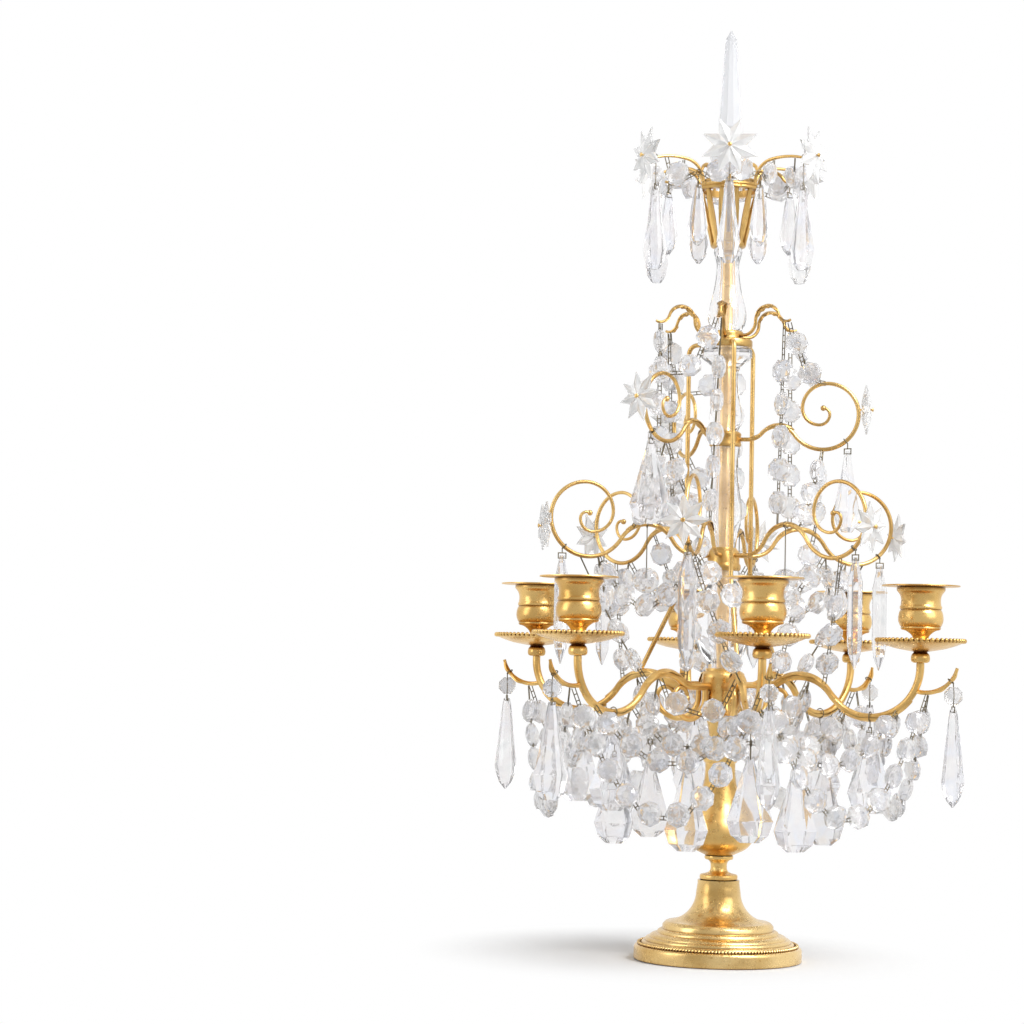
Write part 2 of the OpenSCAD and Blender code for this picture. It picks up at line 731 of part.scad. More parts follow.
module string_beads() color([0.9, 0.92, 0.94]) {
  beads_of(strings);
  for (a = arm_a)
    at(a)
      translate([hx(lance_h), 0, lance_h[4] + 12])
        rotate([0, 0, face(a, 0.8)])
          small_bead(13, 8);
  for (a = crown_a)
    at(a)
      translate([hx(crown_h), 0, crown_h[4] + 12])
        rotate([0, 0, face(a, 0.8)])
          small_bead(12, 7);
  for (k = [1, 3, 5])
    at(low_a[k])
      difference() {
        translate([61.8, 0, ball_z])
          sphere(d = 20);
        translate([61.8, 0, ball_z])
          cylinder(h = 20, d = hole_d);
      }
}

module bead_links() color([0.42, 0.34, 0.2]) {
  links_of(swags);
  links_of(strings);
  for (k = [0:5]) {
    at(arm_a[k])
      hook(lance_h[0], lance_h[1], lance_h[2], lance_h[3], lance_h[4], face(arm_a[k], 0.8));
    at(arm_a[k])
      hook(arm_h[0], arm_h[1], arm_h[2], arm_h[3], k == 0 ? front_h[4] : arm_h[4], face(arm_a[k], 0.75));
    at(crown_a[k])
      hook(crown_h[0], crown_h[1], crown_h[2], crown_h[3], crown_h[4], face(crown_a[k], 0.8));
    at(low_a[k])
      hook(spear_h[0], spear_h[1], spear_h[2], spear_h[3], spear_h[4], 0);
    at(crown_leaf_a[k])
      hook(pear_h[0], pear_h[1], pear_h[2], pear_h[3], pear_h[4], face(crown_leaf_a[k], 0.7));
    at(arm_m(k))
      swag_hook(swag_c[k], swag_pin, face(arm_m(k), 0.7));
  }
  for (k = [1, 3, 5])
    at(low_a[k])
      ball_hook();
  for (a = mid_a)
    at(a)
      hook(scroll_h[0], scroll_h[1], scroll_h[2], scroll_h[3], scroll_h[4], face(a, 0.35));
}

// Drops that swing

module scroll_drop(k) color([0.88, 0.9, 0.92])
  at(mid_a[k - 1])
    translate([hx(scroll_h), 0, scroll_h[4]])
      rotate([0, 0, face(mid_a[k - 1], 0.35)])
        hung(drop_st(drop_len, 32, 11));

module lance(k) color([0.88, 0.9, 0.92])
  at(arm_a[k - 1])
    translate([hx(lance_h), 0, lance_h[4]])
      rotate([0, 0, face(arm_a[k - 1], 0.8)])
        hung(k == 6 ? drop_st(lance_len - 2, 25, 11) : lance_st(lance_len));

module crown_drop(k) color([0.88, 0.9, 0.92])
  at(crown_a[k - 1])
    translate([hx(crown_h), 0, crown_h[4]])
      rotate([0, 0, face(crown_a[k - 1], 0.8)])
        hung(drop_st(crown_len, 18, 9));

module arm_drop(k) color([0.88, 0.9, 0.92])
  at(arm_a[k - 1])
    translate([hx(arm_h), 0, k == 1 ? front_h[4] : arm_h[4]])
      rotate([0, 0, face(arm_a[k - 1], 0.75)])
        hung(drop_st(drop_len, 34, 11));

foot();
rod_nuts();
tie_rod();
neck_spool();
urn();
arm_hub();
candle_arms();
drip_pans();
candle_cups();
nozzle(1);  // nozzle_1
nozzle(2);  // nozzle_2
nozzle(3);  // nozzle_3
nozzle(4);  // nozzle_4
nozzle(5);  // nozzle_5
nozzle(6);  // nozzle_6
stem_tube();
lower_glass();
middle_glass();
upper_glass();
top_glass();
lower_collar();
middle_collar();
upper_collar();
cage_rods();
lower_scrolls();
middle_scrolls();
leaf_arms();
crown_basket();
crown_arms();
crown_leaves();
stars();
glass_ball();
spire();
spear_drops();
pear_drops();
swag_beads();
string_beads();
bead_links();
swag_pendeloques();
scroll_drop(1);  // scroll_drop_1
scroll_drop(2);  // scroll_drop_2
scroll_drop(3);  // scroll_drop_3
lance(1);  // lance_1
lance(2);  // lance_2
lance(3);  // lance_3
lance(4);  // lance_4
lance(5);  // lance_5
lance(6);  // lance_6
crown_drop(1);  // crown_drop_1
crown_drop(2);  // crown_drop_2
crown_drop(3);  // crown_drop_3
crown_drop(4);  // crown_drop_4
crown_drop(5);  // crown_drop_5
crown_drop(6);  // crown_drop_6
arm_drop(1);  // arm_drop_1
arm_drop(2);  // arm_drop_2
arm_drop(3);  // arm_drop_3
arm_drop(4);  // arm_drop_4
arm_drop(5);  // arm_drop_5
arm_drop(6);  // arm_drop_6
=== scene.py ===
from math import asin, atan2, cos, hypot, pi, radians, sin
import bmesh
import bpy
from mathutils import Matrix, Vector


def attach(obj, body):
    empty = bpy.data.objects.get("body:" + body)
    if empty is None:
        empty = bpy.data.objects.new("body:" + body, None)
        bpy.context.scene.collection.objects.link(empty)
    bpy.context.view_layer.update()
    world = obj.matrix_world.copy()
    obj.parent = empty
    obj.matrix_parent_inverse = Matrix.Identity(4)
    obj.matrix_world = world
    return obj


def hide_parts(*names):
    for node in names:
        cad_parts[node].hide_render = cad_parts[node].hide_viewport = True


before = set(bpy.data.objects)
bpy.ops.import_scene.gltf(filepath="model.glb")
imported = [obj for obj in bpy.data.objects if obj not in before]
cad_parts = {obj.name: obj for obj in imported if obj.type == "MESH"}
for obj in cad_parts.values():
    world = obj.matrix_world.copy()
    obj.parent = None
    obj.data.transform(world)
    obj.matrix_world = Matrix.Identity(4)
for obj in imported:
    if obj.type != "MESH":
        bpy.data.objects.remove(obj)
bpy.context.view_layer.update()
mm = 0.001
axisR = 0.02  # a turned line stops this close to its axis
print("frame loaded:", len(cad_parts), "nodes")

# angles round the stem, from the front towards the right, as in the CAD
armTurns = [10.5, 70.5, 138, 190.5, 250.5, 318]
nextTurns = armTurns[1:] + [armTurns[0] + 360]
armPairs = list(zip(armTurns, nextTurns))
lowTurns = [-11.5 + 60 * k for k in range(6)]
midTurns = [84, 204, 324]
leafTurns = [54 + 60 * k for k in range(6)]
crownTurns = [60 * k for k in range(6)]
crownLeafTurns = [30 + 60 * k for k in range(6)]
rodTurns = armTurns[::2]

# where pieces meet: distance from the stem, and height
cupOut = 156
rodBore = 3.3
tubeBore = 5.3
starSpots = dict(crown=(73.4, 613.7), mid=(108, 422), low=(142.8, 327.2))


# places and lines

def spin(angle, axis):
    return Matrix.Rotation(radians(angle), 4, axis)


def turnTo(angle):
    return spin(angle - 90, "Z")


def facing(angle, part):  # how far a hanging piece turns its broad face to the front
    return spin(-part * ((angle + 810) % 180 - 90), "Z")


def moveTo(x, y, z):
    return Matrix.Translation((x, y, z))


def ringPoint(r, angle, z):
    a = radians(angle)
    return Vector((r * sin(a), -r * cos(a), z))


def arcPoint(cx, cz, r, angle):
    a = radians(angle)
    return cx + r * cos(a), cz + r * sin(a)


def arcLine(cx, cz, r, a0, a1, n):
    return [arcPoint(cx, cz, r, a0 + (a1 - a0) * k / n) for k in range(n + 1)]


def shifted(line, dr, dz):
    return [(r + dr, z + dz) for r, z in line]


def taper(n, thick, thin, hold=0.5):  # full thickness up to the share called hold
    out = []
    for i in range(n):
        t = i / max(1, n - 1)
        k = 0 if t < hold else (t - hold) / (1 - hold)
        out.append(thick + (thin - thick) * k)
    return out


def easeLine(points, step=1.2):
    # a smooth line through the points; a third value of 1 marks a crisp corner
    pts = [(*p, 0)[:3] for p in points]
    out = []
    n = len(pts)
    for i in range(n - 1):
        p1, p2 = pts[i], pts[i + 1]
        p0 = pts[i - 1] if i > 0 and not p1[2] else p1
        p3 = pts[i + 2] if i + 2 < n and not p2[2] else p2
        length = hypot(p2[0] - p1[0], p2[1] - p1[1])
        count = 1 if p1[2] and p2[2] else max(2, int(length / step))
        for k in range(count):
            t = k / count
            r, z = (0.5 * (2 * b + (c - a) * t + (2 * a - 5 * b + 4 * c - d) * t * t
                           + (3 * b - a - 3 * c + d) * t ** 3)
                    for a, b, c, d in zip(p0[:2], p1[:2], p2[:2], p3[:2]))
            out.append((max(r, axisR), z))
    out.append((max(pts[-1][0], axisR), pts[-1][1]))
    return out


def closedTurning(outer, bore):
    line = easeLine(outer)
    return line + [(bore, line[-1][1]), (bore, line[0][1])]


def wireLine(start, heading, bends, step=1.6, longStep=6):
    # the same bends as the CAD: (radius, turn) or (0, straight length)
    x, z = start
    h = heading
    line = [(x, z)]
    for r, t in bends:
        dx, dz = cos(radians(h)), sin(radians(h))
        if r == 0:
            n = max(1, int(abs(t) / longStep))
            line += [(x + t * k / n * dx, z + t * k / n * dz) for k in range(1, n + 1)]
        else:
            s = 1 if t > 0 else -1
            cx, cz = x - s * r * dz, z + s * r * dx
            n = max(3, int(radians(abs(t)) * r / step))
            for k in range(1, n + 1):
                a = radians(h + t * k / n)
                line.append((cx + s * r * sin(a), cz - s * r * cos(a)))
            h += t
        x, z = line[-1]
    return line


# shapes, all in millimetres until makePiece

class Batch:
    def __init__(self):
        self.verts = []
        self.faces = []

    def add(self, verts, faces, place=Matrix.Identity(4)):
        start = len(self.verts)
        self.verts += [place @ Vector(v) for v in verts]
        self.faces += [[i + start for i in f] for f in faces]


def gridFaces(rows, cols, closed=False):  # every row is a ring; closed joins the last to the first
    faces = []
    for i in range(rows if closed else rows - 1):
        j = (i + 1) % rows
        for s in range(cols):
            t = (s + 1) % cols
            faces.append([i * cols + s, i * cols + t, j * cols + t, j * cols + s])
    return faces


def endFaces(rows, cols):
    return [list(range(cols - 1, -1, -1)), [(rows - 1) * cols + s for s in range(cols)]]


def latheShape(line, steps=96, closed=True):
    turns = [2 * pi * s / steps for s in range(steps)]
    verts = [(r * cos(a), r * sin(a), z) for r, z in line for a in turns]
    return verts, gridFaces(len(line), steps, closed)


def tubeShape(path, radii, sides=14):
    pts = [Vector(p) for p in path]
    n = len(pts)
    tangents = [(pts[min(i + 1, n - 1)] - pts[max(i - 1, 0)]).normalized() for i in range(n)]
    up = Vector((0, 1, 0))
    if abs(tangents[0].dot(up)) > 0.9:
        up = Vector((1, 0, 0))
    verts = []
    for p, t, r in zip(pts, tangents, radii):
        up = (up - t * up.dot(t)).normalized()
        side = t.cross(up)
        for s in range(sides):
            a = 2 * pi * s / sides
            verts.append(p + (side * cos(a) + up * sin(a)) * r)
    return verts, gridFaces(n, sides) + endFaces(n, sides)


def barShape(a, b, r, sides=8):
    return tubeShape([a, b], [r, r], sides)


def wireShape(line, radii, sides=12):
    return tubeShape([(r, 0, z) for r, z in line], radii, sides)


def ballShape(r, seg=14, rings=8):
    verts = [(0, 0, r)]
    faces = []
    for i in range(1, rings):
        a = pi * i / rings
        for s in range(seg):
            b = 2 * pi * s / seg
            verts.append((r * sin(a) * cos(b), r * sin(a) * sin(b), r * cos(a)))
    verts.append((0, 0, -r))
    last = len(verts) - 1
    low = 1 + (rings - 2) * seg  # first corner of the lowest ring
    for s in range(seg):
        t = (s + 1) % seg
        faces.append([0, 1 + s, 1 + t])
        for i in range(rings - 2):
            up, down = 1 + i * seg, 1 + (i + 1) * seg
            faces.append([up + s, down + s, down + t, up + t])
        faces.append([low + s, last, low + t])
    return verts, faces


def rimBeads(batch, r, z, ballR, count, place=Matrix.Identity(4)):
    ball = ballShape(ballR, 8, 6)
    for k in range(count):
        a = 2 * pi * k / count
        batch.add(*ball, place @ moveTo(r * cos(a), r * sin(a), z))


def putInScene(name, data):
    thing = bpy.data.objects.new(name, data)
    bpy.context.scene.collection.objects.link(thing)
    return thing


def makePiece(node, kind, batch, slotName, smoothAngle=None, body="stand"):
    name = node + "_" + kind
    mesh = bpy.data.meshes.new(name)
    mesh.from_pydata([tuple(v * mm) for v in batch.verts], [], batch.faces)
    mesh.validate()
    shell = bmesh.new()  # all faces look outwards
    shell.from_mesh(mesh)
    bmesh.ops.recalc_face_normals(shell, faces=shell.faces)
    shell.to_mesh(mesh)
    shell.free()
    mesh.update()
    if smoothAngle is not None:
        for poly in mesh.polygons:
            poly.use_smooth = True
        mesh.set_sharp_from_angle(angle=radians(smoothAngle))
    mesh.materials.append(finishes[slotName])
    piece = putInScene(name, mesh)
    piece.visible_shadow = kind != "clear"  # light passes the glass
    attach(piece, body)
    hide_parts(node)


# finishes

def addNode(nt, kind, values=None, **sources):  # values stand on the sockets, sources are linked to them
    node = nt.nodes.new("ShaderNode" + kind)
    for key, value in (values or {}).items():
        node.inputs[key].default_value = value
    for key, source in sources.items():
        nt.links.new(source, node.inputs[key])
    return node


def noiseOf(nt, scale, detail=2):
    place = addNode(nt, "TexCoord").outputs["Object"]
    return addNode(nt, "TexNoise", dict(Scale=scale, Detail=detail), Vector=place).outputs["Fac"]


def rampOf(nt, source, stops):  # stops are (place on the ramp, colour)
    ramp = addNode(nt, "ValToRGB", Fac=source)
    marks = ramp.color_ramp.elements
    for mark, (spot, colour) in zip((marks[0], marks[1]), (stops[0], stops[-1])):
        mark.position = spot
        mark.color = (*colour, 1)
    for spot, colour in stops[1:-1]:
        marks.new(spot).color = (*colour, 1)
    return ramp.outputs["Color"]


def spanOf(nt, source, fromSpan, toSpan, ease="LINEAR"):
    keys = ("From Min", "From Max", "To Min", "To Max")
    spread = addNode(nt, "MapRange", dict(zip(keys, (*fromSpan, *toSpan))), Value=source)
    spread.interpolation_type = ease
    return spread.outputs["Result"]


def darkerOf(nt, first, second, share):
    both = nt.nodes.new("ShaderNodeMix")
    both.data_type = "RGBA"
    both.blend_type = "MULTIPLY"
    both.inputs["Factor"].default_value = share
    nt.links.new(first, both.inputs["A"])
    nt.links.new(second, both.inputs["B"])
    return both.outputs["Result"]


def bumpOf(nt, height, strength, depth):
    return addNode(nt, "Bump", dict(Strength=strength, Distance=depth), Height=height).outputs["Normal"]


def mixOf(nt, share, first, second):
    mix = addNode(nt, "MixShader", Fac=share)
    nt.links.new(first, mix.inputs[1])
    nt.links.new(second, mix.inputs[2])
    return mix.outputs["Shader"]


def newFinish(name):
    mat = bpy.data.materials.new(name)
    mat.use_nodes = True
    return mat, mat.node_tree, mat.node_tree.nodes["Principled BSDF"]


def giltFinish(name, look):
    mat, nt, shader = newFinish(name)
    shader.inputs["Metallic"].default_value = 1.0
    cloud = noiseOf(nt, look["cloud"], 5)  # slow change of tone over the gilding
    tone = rampOf(nt, cloud, list(zip(look["cloudSpan"], (look["deep"], look["bright"]))))
    hollow = addNode(nt, "AmbientOcclusion", dict(Distance=look["reach"]))  # patina and painted shade: the colour goes brown and dark in the steps, curls and gaps between beads, where shade falls
    hollow.samples = 8
    patinaAndShade = rampOf(nt, hollow.outputs["AO"], list(zip(look["crease"], (look["patinaShadeTone"], plainWhite))))
    spots = noiseOf(nt, look["spotScale"], 3)  # small dark spots
    spotTone = rampOf(nt, spots, list(zip(look["spotSpan"], (look["spot"], plainWhite))))
    tone = darkerOf(nt, darkerOf(nt, tone, patinaAndShade, look["patinaShadeShare"]), spotTone, 1.0)
    fine = noiseOf(nt, look["fine"], 6)
    nt.links.new(tone, shader.inputs["Base Color"])
    nt.links.new(spanOf(nt, fine, look["rub"], look["gloss"]), shader.inputs["Roughness"])
    nt.links.new(bumpOf(nt, fine, look["dent"], look["dentDepth"]), shader.inputs["Normal"])
    return mat


def glassFinish(name, look):
    mat, nt, shader = newFinish(name)
    shader.inputs["Transmission Weight"].default_value = look["clear"]
    shader.inputs["IOR"].default_value = look["ior"]
    low, high = look["tintSpan"]
    last = len(look["tints"]) - 1
    stops = [(low + (high - low) * k / last, c) for k, c in enumerate(look["tints"])]
    tint = rampOf(nt, noiseOf(nt, look["tintScale"]), stops)  # faint change of tint from facet to facet
    dust = noiseOf(nt, look["dust"], 6)  # dust and old scratches
    wave = noiseOf(nt, look["wave"])
    nt.links.new(tint, shader.inputs["Base Color"])
    nt.links.new(spanOf(nt, dust, look["rub"], look["haze"]), shader.inputs["Roughness"])
    nt.links.new(bumpOf(nt, wave, look["ripple"], look["rippleDepth"]), shader.inputs["Normal"])
    return mat


plainWhite = (1, 1, 1)
# the darkening in hollows and between parts set here is partly patina and partly painted shade
giltBase = dict(
    deep=(0.6, 0.35, 0.1), bright=(0.88, 0.59, 0.22), patinaShadeTone=(0.2, 0.1, 0.035), spot=(0.86, 0.78, 0.66), cloud=32,
    cloudSpan=(0.3, 0.62), spotScale=420, spotSpan=(0.3, 0.36), fine=210, rub=(0.3, 0.7), gloss=(0.24, 0.42),
    dent=0.1, dentDepth=0.0006, reach=0.004, crease=(0.2, 0.7), patinaShadeShare=0.75)
giltLooks = {
    # the foot's paler gilding is partly a painted highlight for the bright reflection on its bell; its stronger
    # darkening in the steps and bead row is painted shade
    "gilt_foot": dict(deep=(0.62, 0.39, 0.13), bright=(0.92, 0.67, 0.31), spot=(0.75, 0.64, 0.5), cloud=26,
                      fine=150, dent=0.05, gloss=(0.18, 0.34), reach=0.003, crease=(0.4, 0.85), patinaShadeShare=0.95),
    "gilt_turned": dict(gloss=(0.22, 0.38)),
    "gilt_arms": dict(cloud=40, gloss=(0.26, 0.42), patinaShadeShare=0.9),
    # the strong darkening between the pans' rim beads and in the cups' steps is mostly painted shade
    "gilt_cups": dict(gloss=(0.22, 0.34), reach=0.0035, crease=(0.5, 0.95), patinaShadeShare=1),
    "gilt_nozzles": dict(gloss=(0.24, 0.38)),
    "gilt_tube": dict(bright=(0.9, 0.64, 0.3), patinaShadeShare=0.3),
    "gilt_collars": dict(deep=(0.46, 0.27, 0.08), bright=(0.76, 0.5, 0.18), patinaShadeShare=0.95),
    "gilt_wire": dict(deep=(0.52, 0.31, 0.1), bright=(0.82, 0.56, 0.22), spot=plainWhite,
                      gloss=(0.22, 0.36), patinaShadeShare=0.6),
    "gilt_leaf": dict(deep=(0.3, 0.17, 0.06), bright=(0.76, 0.49, 0.17), cloud=60, patinaShadeShare=0.95),
    "link_wire": dict(deep=(0.09, 0.075, 0.05), bright=(0.24, 0.2, 0.13), cloud=120, gloss=(0.3, 0.5), patinaShadeShare=0.5),
    "rod_steel": dict(deep=(0.3, 0.29, 0.27), bright=(0.52, 0.51, 0.49), patinaShadeTone=(0.4, 0.33, 0.26),
                      gloss=(0.25, 0.45)),
}
clearTints = [(0.95, 0.96, 0.97), (1.0, 1.0, 1.0), (0.99, 0.975, 0.985), (0.96, 0.98, 1.0), (1.0, 0.985, 0.95)]
beadTints = [(0.62, 0.63, 0.64), (0.84, 0.84, 0.84), (0.75, 0.73, 0.72), (0.7, 0.72, 0.77), (0.8, 0.77, 0.72)]
dropTints = [(0.78, 0.79, 0.8), (0.92, 0.92, 0.92), (0.86, 0.84, 0.845), (0.84, 0.86, 0.91), (0.9, 0.87, 0.83)]
frostTints = [(0.74, 0.74, 0.74), (0.82, 0.82, 0.82), (0.78, 0.775, 0.77)]
milkTints = [(0.74, 0.745, 0.765), (0.82, 0.825, 0.84)]
glassBase = dict(ior=1.5, clear=0.96, tints=clearTints, tintScale=45, tintSpan=(0.3, 0.7), dust=260,
                 rub=(0.45, 0.8), haze=(0.01, 0.08), wave=90, ripple=0.03, rippleDepth=0.0008)
glassLooks = {
    "stem_glass": dict(tintScale=25, ripple=0.05),
    "star_glass": dict(tints=frostTints, clear=0.58, haze=(0.1, 0.24), ripple=0.02),
    "spire_glass": dict(tints=milkTints, clear=0.7, haze=(0.08, 0.2), tintScale=20),
    "drop_glass": dict(tints=dropTints, clear=0.9),
    "bead_glass": dict(tints=beadTints, clear=0.76, haze=(0.02, 0.1), tintScale=70),
}
finishes = {}
for make, base, looks in ((giltFinish, giltBase, giltLooks), (glassFinish, glassBase, glassLooks)):
    for slotName, look in looks.items():
        first, second = slotName.split("_")
        finishes[slotName] = make(first + second.title(), dict(base, **look))
print("finishes made:", len(finishes))


# foot, spool, urn and hub

footLook = dict(edgeBeads=150, beadR=1.28, beadRow=(60.4, 12.0), steps=144)
footSteps = [(61.5, 0, 1), (63.5, 0, 1), (64, 0.5, 1), (64, 8.2, 1), (63.5, 10.0), (62.3, 10.9, 1),
    (58.5, 11.3, 1), (58.4, 12.5), (57.4, 13.8), (55.7, 14.1, 1), (55.5, 15.5), (54.4, 16.6), (52.7, 16.9, 1),
    (52.0, 18.1), (49.8, 19.4), (46.6, 20.2, 1), (45.9, 21.8), (44.2, 22.9, 1), (42.5, 23.2, 1),
    (42.3, 26.2, 1), (41.4, 27.4), (40.2, 28.6, 1)]


def makeFoot(look):
    line = easeLine(footSteps, 0.8) + arcLine(40, 52, 23, 268, 182, 26)
    line += [(16.4, 55), (16, 58), (16, 60.6), (rodBore, 60.8), (rodBore, 57.3), (14, 57.3), (15, 52)]
    line += arcLine(40, 52, 25, 186, 266, 14)  # the hollow underside
    line += [(38.6, 26.4), (39, 22.5), (42, 19.4), (50, 15.4), (56, 9.4), (61.5, 8)]
    batch = Batch()
    batch.add(*latheShape(line, look["steps"]))
    rimBeads(batch, *look["beadRow"], look["beadR"], look["edgeBeads"])
    makePiece("foot", "gilt", batch, "gilt_foot", 32)


stemTurnings = {
    "neck_spool": [(13.4, 60.85, 1), (14.3, 61.3), (14.5, 62.8), (14.2, 64.4), (13.2, 64.9, 1), (11, 65.4, 1),
        (8, 66.4), (6.5, 68.2), (6.2, 71), (6.7, 74), (8.6, 76, 1), (10.4, 76.2, 1), (11, 77.4),
        (10.8, 78.9, 1)],
    "urn": [(10, 79.05, 1), (12.6, 80.4), (20.2, 84.2), (24.6, 88.8), (26.2, 93), (26.5, 97), (25.7, 101.6),
        (23.4, 106.6), (20, 112), (16.6, 119), (14, 128), (12.4, 135), (11.6, 142), (11.5, 149.4, 1),
        (12.6, 150.4, 1), (13.3, 152.4), (13.3, 155.4), (12.4, 156.9, 1)],
    "arm_hub": [(10, 157.05, 1), (9.1, 161), (8.8, 170), (10.5, 180), (13.6, 190), (14.8, 195, 1), (15, 197, 1),
        (15, 202, 1), (14.6, 203, 1), (14.6, 213, 1), (15, 214, 1), (15, 217, 1), (13.6, 219), (12.4, 220, 1),
        (12.4, 221.9, 1)],
}


def makeTurnings(lines, bore, steps, slotName):
    for node, outer in lines.items():
        batch = Batch()
        batch.add(*latheShape(closedTurning(outer, bore), steps))
        makePiece(node, "gilt", batch, slotName, 34)


makeFoot(footLook)
makeTurnings(stemTurnings, rodBore, 96, "gilt_turned")
print("foot and stem turned")


# candle arms: a bar, a small scroll below and leaves

def leafShape(line, width, thick, lobes=4, curl=0.5, tipWidth=0.1, cut=0.22):
    # a chased leaf lying along a line in the radial plane
    n = len(line)
    across = [-1, -0.66, -0.33, 0, 0.33, 0.66, 1]
    verts, faces = [], []
    for side in (1, -1):
        for i in range(n):
            t = i / (n - 1)
            a, b = line[max(i - 1, 0)], line[min(i + 1, n - 1)]
            d = hypot(b[0] - a[0], b[1] - a[1])
            nx, nz = -(b[1] - a[1]) / d, (b[0] - a[0]) / d
            wave = cos(2 * pi * lobes * t)
            w = width / 2 * max(tipWidth, sin(pi * min(1, t * 0.93 + 0.05)) ** 0.6)
            w *= 1 - cut * (0.5 + 0.5 * wave)
            for u in across:
                rise = -curl * w * u * u + 0.5 * thick * (1 if abs(u) < 0.1 else 0.4) + side * thick / 2
                rise += 0.18 * thick * wave * abs(u)
                verts.append((line[i][0] + nx * rise, w * u, line[i][1] + nz * rise))
    m = len(across)
    half = n * m
    for i in range(n - 1):  # the two broad faces
        for j in range(m - 1):
            a = i * m + j
            faces.append([a, a + m, a + m + 1, a + 1])
            faces.append([half + a, half + a + 1, half + a + m + 1, half + a + m])
    for i in range(n - 1):  # the long edges
        a, b = i * m, i * m + m - 1
        faces.append([a, half + a, half + a + m, a + m])
        faces.append([b, b + m, half + b + m, half + b])
    for j in range(m - 1):  # root and tip
        faces.append([j, j + 1, half + j + 1, half + j])
        e = (n - 1) * m + j
        faces.append([e, half + e, half + e + 1, e + 1])
    return verts, faces


armLook = dict(barR=3.0, swell=0.1, scrollR=2.2, tipR=1.5, knobR=2.3, studR=2.45, studSpan=(227, 253),
               leafWidth=9.0, underWidth=7.4, prongWidth=6.4, prongR=(1.7, 1.0))


def makeArms(look):
    batch = Batch()
    bar = wireLine((8.4, 208), 0, [(0, 25.2), (20, 35), (30, -90), (38, 145), (0, 2.9)])
    curl = wireLine((18.6, 208), -90, [(0, 8), (17, 180), (7, 190)], 1.2)
    prong = arcLine(160, 232, 25, 246, 345, 26)
    hump = shifted(wireLine((26, 208.4), 0, [(0, 7.6), (20, 35), (30, -90), (38, 20)]), 0, 2.6)
    under = shifted(arcLine(118, 226, 40.4, 236, 322, 26), 0, -0.4)
    n = len(bar)
    radii = [look["barR"] * (1 - look["swell"] + look["swell"] * cos(6.28 * i / n)) for i in range(n)]
    for a in armTurns:
        p = turnTo(a)
        batch.add(*wireShape(bar, radii, 16), p)
        batch.add(*barShape(*[(cupOut, 0, z) for z in look["studSpan"]], look["studR"], 12), p)
        batch.add(*wireShape(curl, taper(len(curl), look["scrollR"], look["tipR"], 0.3)), p)
        batch.add(*ballShape(look["knobR"], 12, 8), p @ moveTo(curl[-1][0], 0, curl[-1][1]))
        batch.add(*leafShape(hump, look["leafWidth"], 1.0, lobes=5, curl=0.45), p)
        batch.add(*leafShape(under[::-1], look["underWidth"], 0.9), p)
        batch.add(*leafShape(prong, look["prongWidth"], 1.5, lobes=3, curl=0.35, tipWidth=0.35), p)
        batch.add(*wireShape(prong, taper(len(prong), *look["prongR"]), 10), p)
    makePiece("candle_arms", "gilt", batch, "gilt_arms", 40)


makeArms(armLook)
print("candle arms bent")


# pans, cups and nozzles

panLook = dict(rimBeads=54, beadR=1.8, beadRow=(32.25, 245.6))
panLine = [(5, 229.05, 1), (6.6, 230), (7.1, 232.2), (6.6, 235), (5.2, 236.6, 1), (5.4, 237.3), (9, 237.9),
    (18, 239.5), (26, 241.9), (31, 244), (31.8, 244.7, 1), (31.7, 245.4, 1), (31, 245.4, 1), (25.4, 243.5),
    (17.6, 241.1), (10, 240.0), (2.9, 239.95, 1)]
cupLine = [(2.9, 240.05, 1), (7.4, 240.05, 1), (7.6, 241.2), (7.2, 242.5, 1), (5.7, 243.4), (5.3, 246),
    (6.8, 249.6), (10.6, 252.6), (14.2, 253.6, 1), (14.9, 254.6), (14.6, 255.7, 1), (15.4, 256.6, 1),
    (16.5, 259.6), (16.7, 263), (16, 266.6), (14.9, 268.6, 1), (15.5, 269.2), (15.6, 270.6), (15, 271.9, 1),
    (14.7, 274), (14.8, 277), (15.8, 280), (17.8, 282.6), (18, 283.6, 1), (18, 284.9, 1), (13.2, 284.95, 1),
    (12.65, 284.4, 1), (12.65, 257, 1), (2.9, 257, 1)]
nozzleLine = [(axisR, 258.5, 1), (12.15, 258.5, 1), (12.15, 285.4, 1), (18, 285.45, 1), (27.6, 285.7),
    (29, 286.1, 1), (28.8, 286.75, 1), (20, 286.5), (13, 286.6), (12.2, 286.75), (11.25, 286.2, 1),
    (11.25, 262.2, 1), (axisR, 262.2, 1)]


def makeCandleEnds(look):
    pans, cups = Batch(), Batch()
    for k, a in enumerate(armTurns):
        p = turnTo(a) @ moveTo(cupOut, 0, 0)
        pans.add(*latheShape(easeLine(panLine, 1.0), 72), p)
        rimBeads(pans, *look["beadRow"], look["beadR"], look["rimBeads"], p)
        cups.add(*latheShape(easeLine(cupLine, 0.8), 64), p)
        nozzle = Batch()
        nozzle.add(*latheShape(easeLine(nozzleLine), 72, closed=False), p)
        node = "nozzle_%d" % (k + 1)
        makePiece(node, "gilt", nozzle, "gilt_nozzles", 32, body=node)
    makePiece("drip_pans", "gilt", pans, "gilt_cups", 34)
    makePiece("candle_cups", "gilt", cups, "gilt_cups", 32)


makeCandleEnds(panLook)
print("pans, cups and nozzles turned")


# collars, rods and scrolls

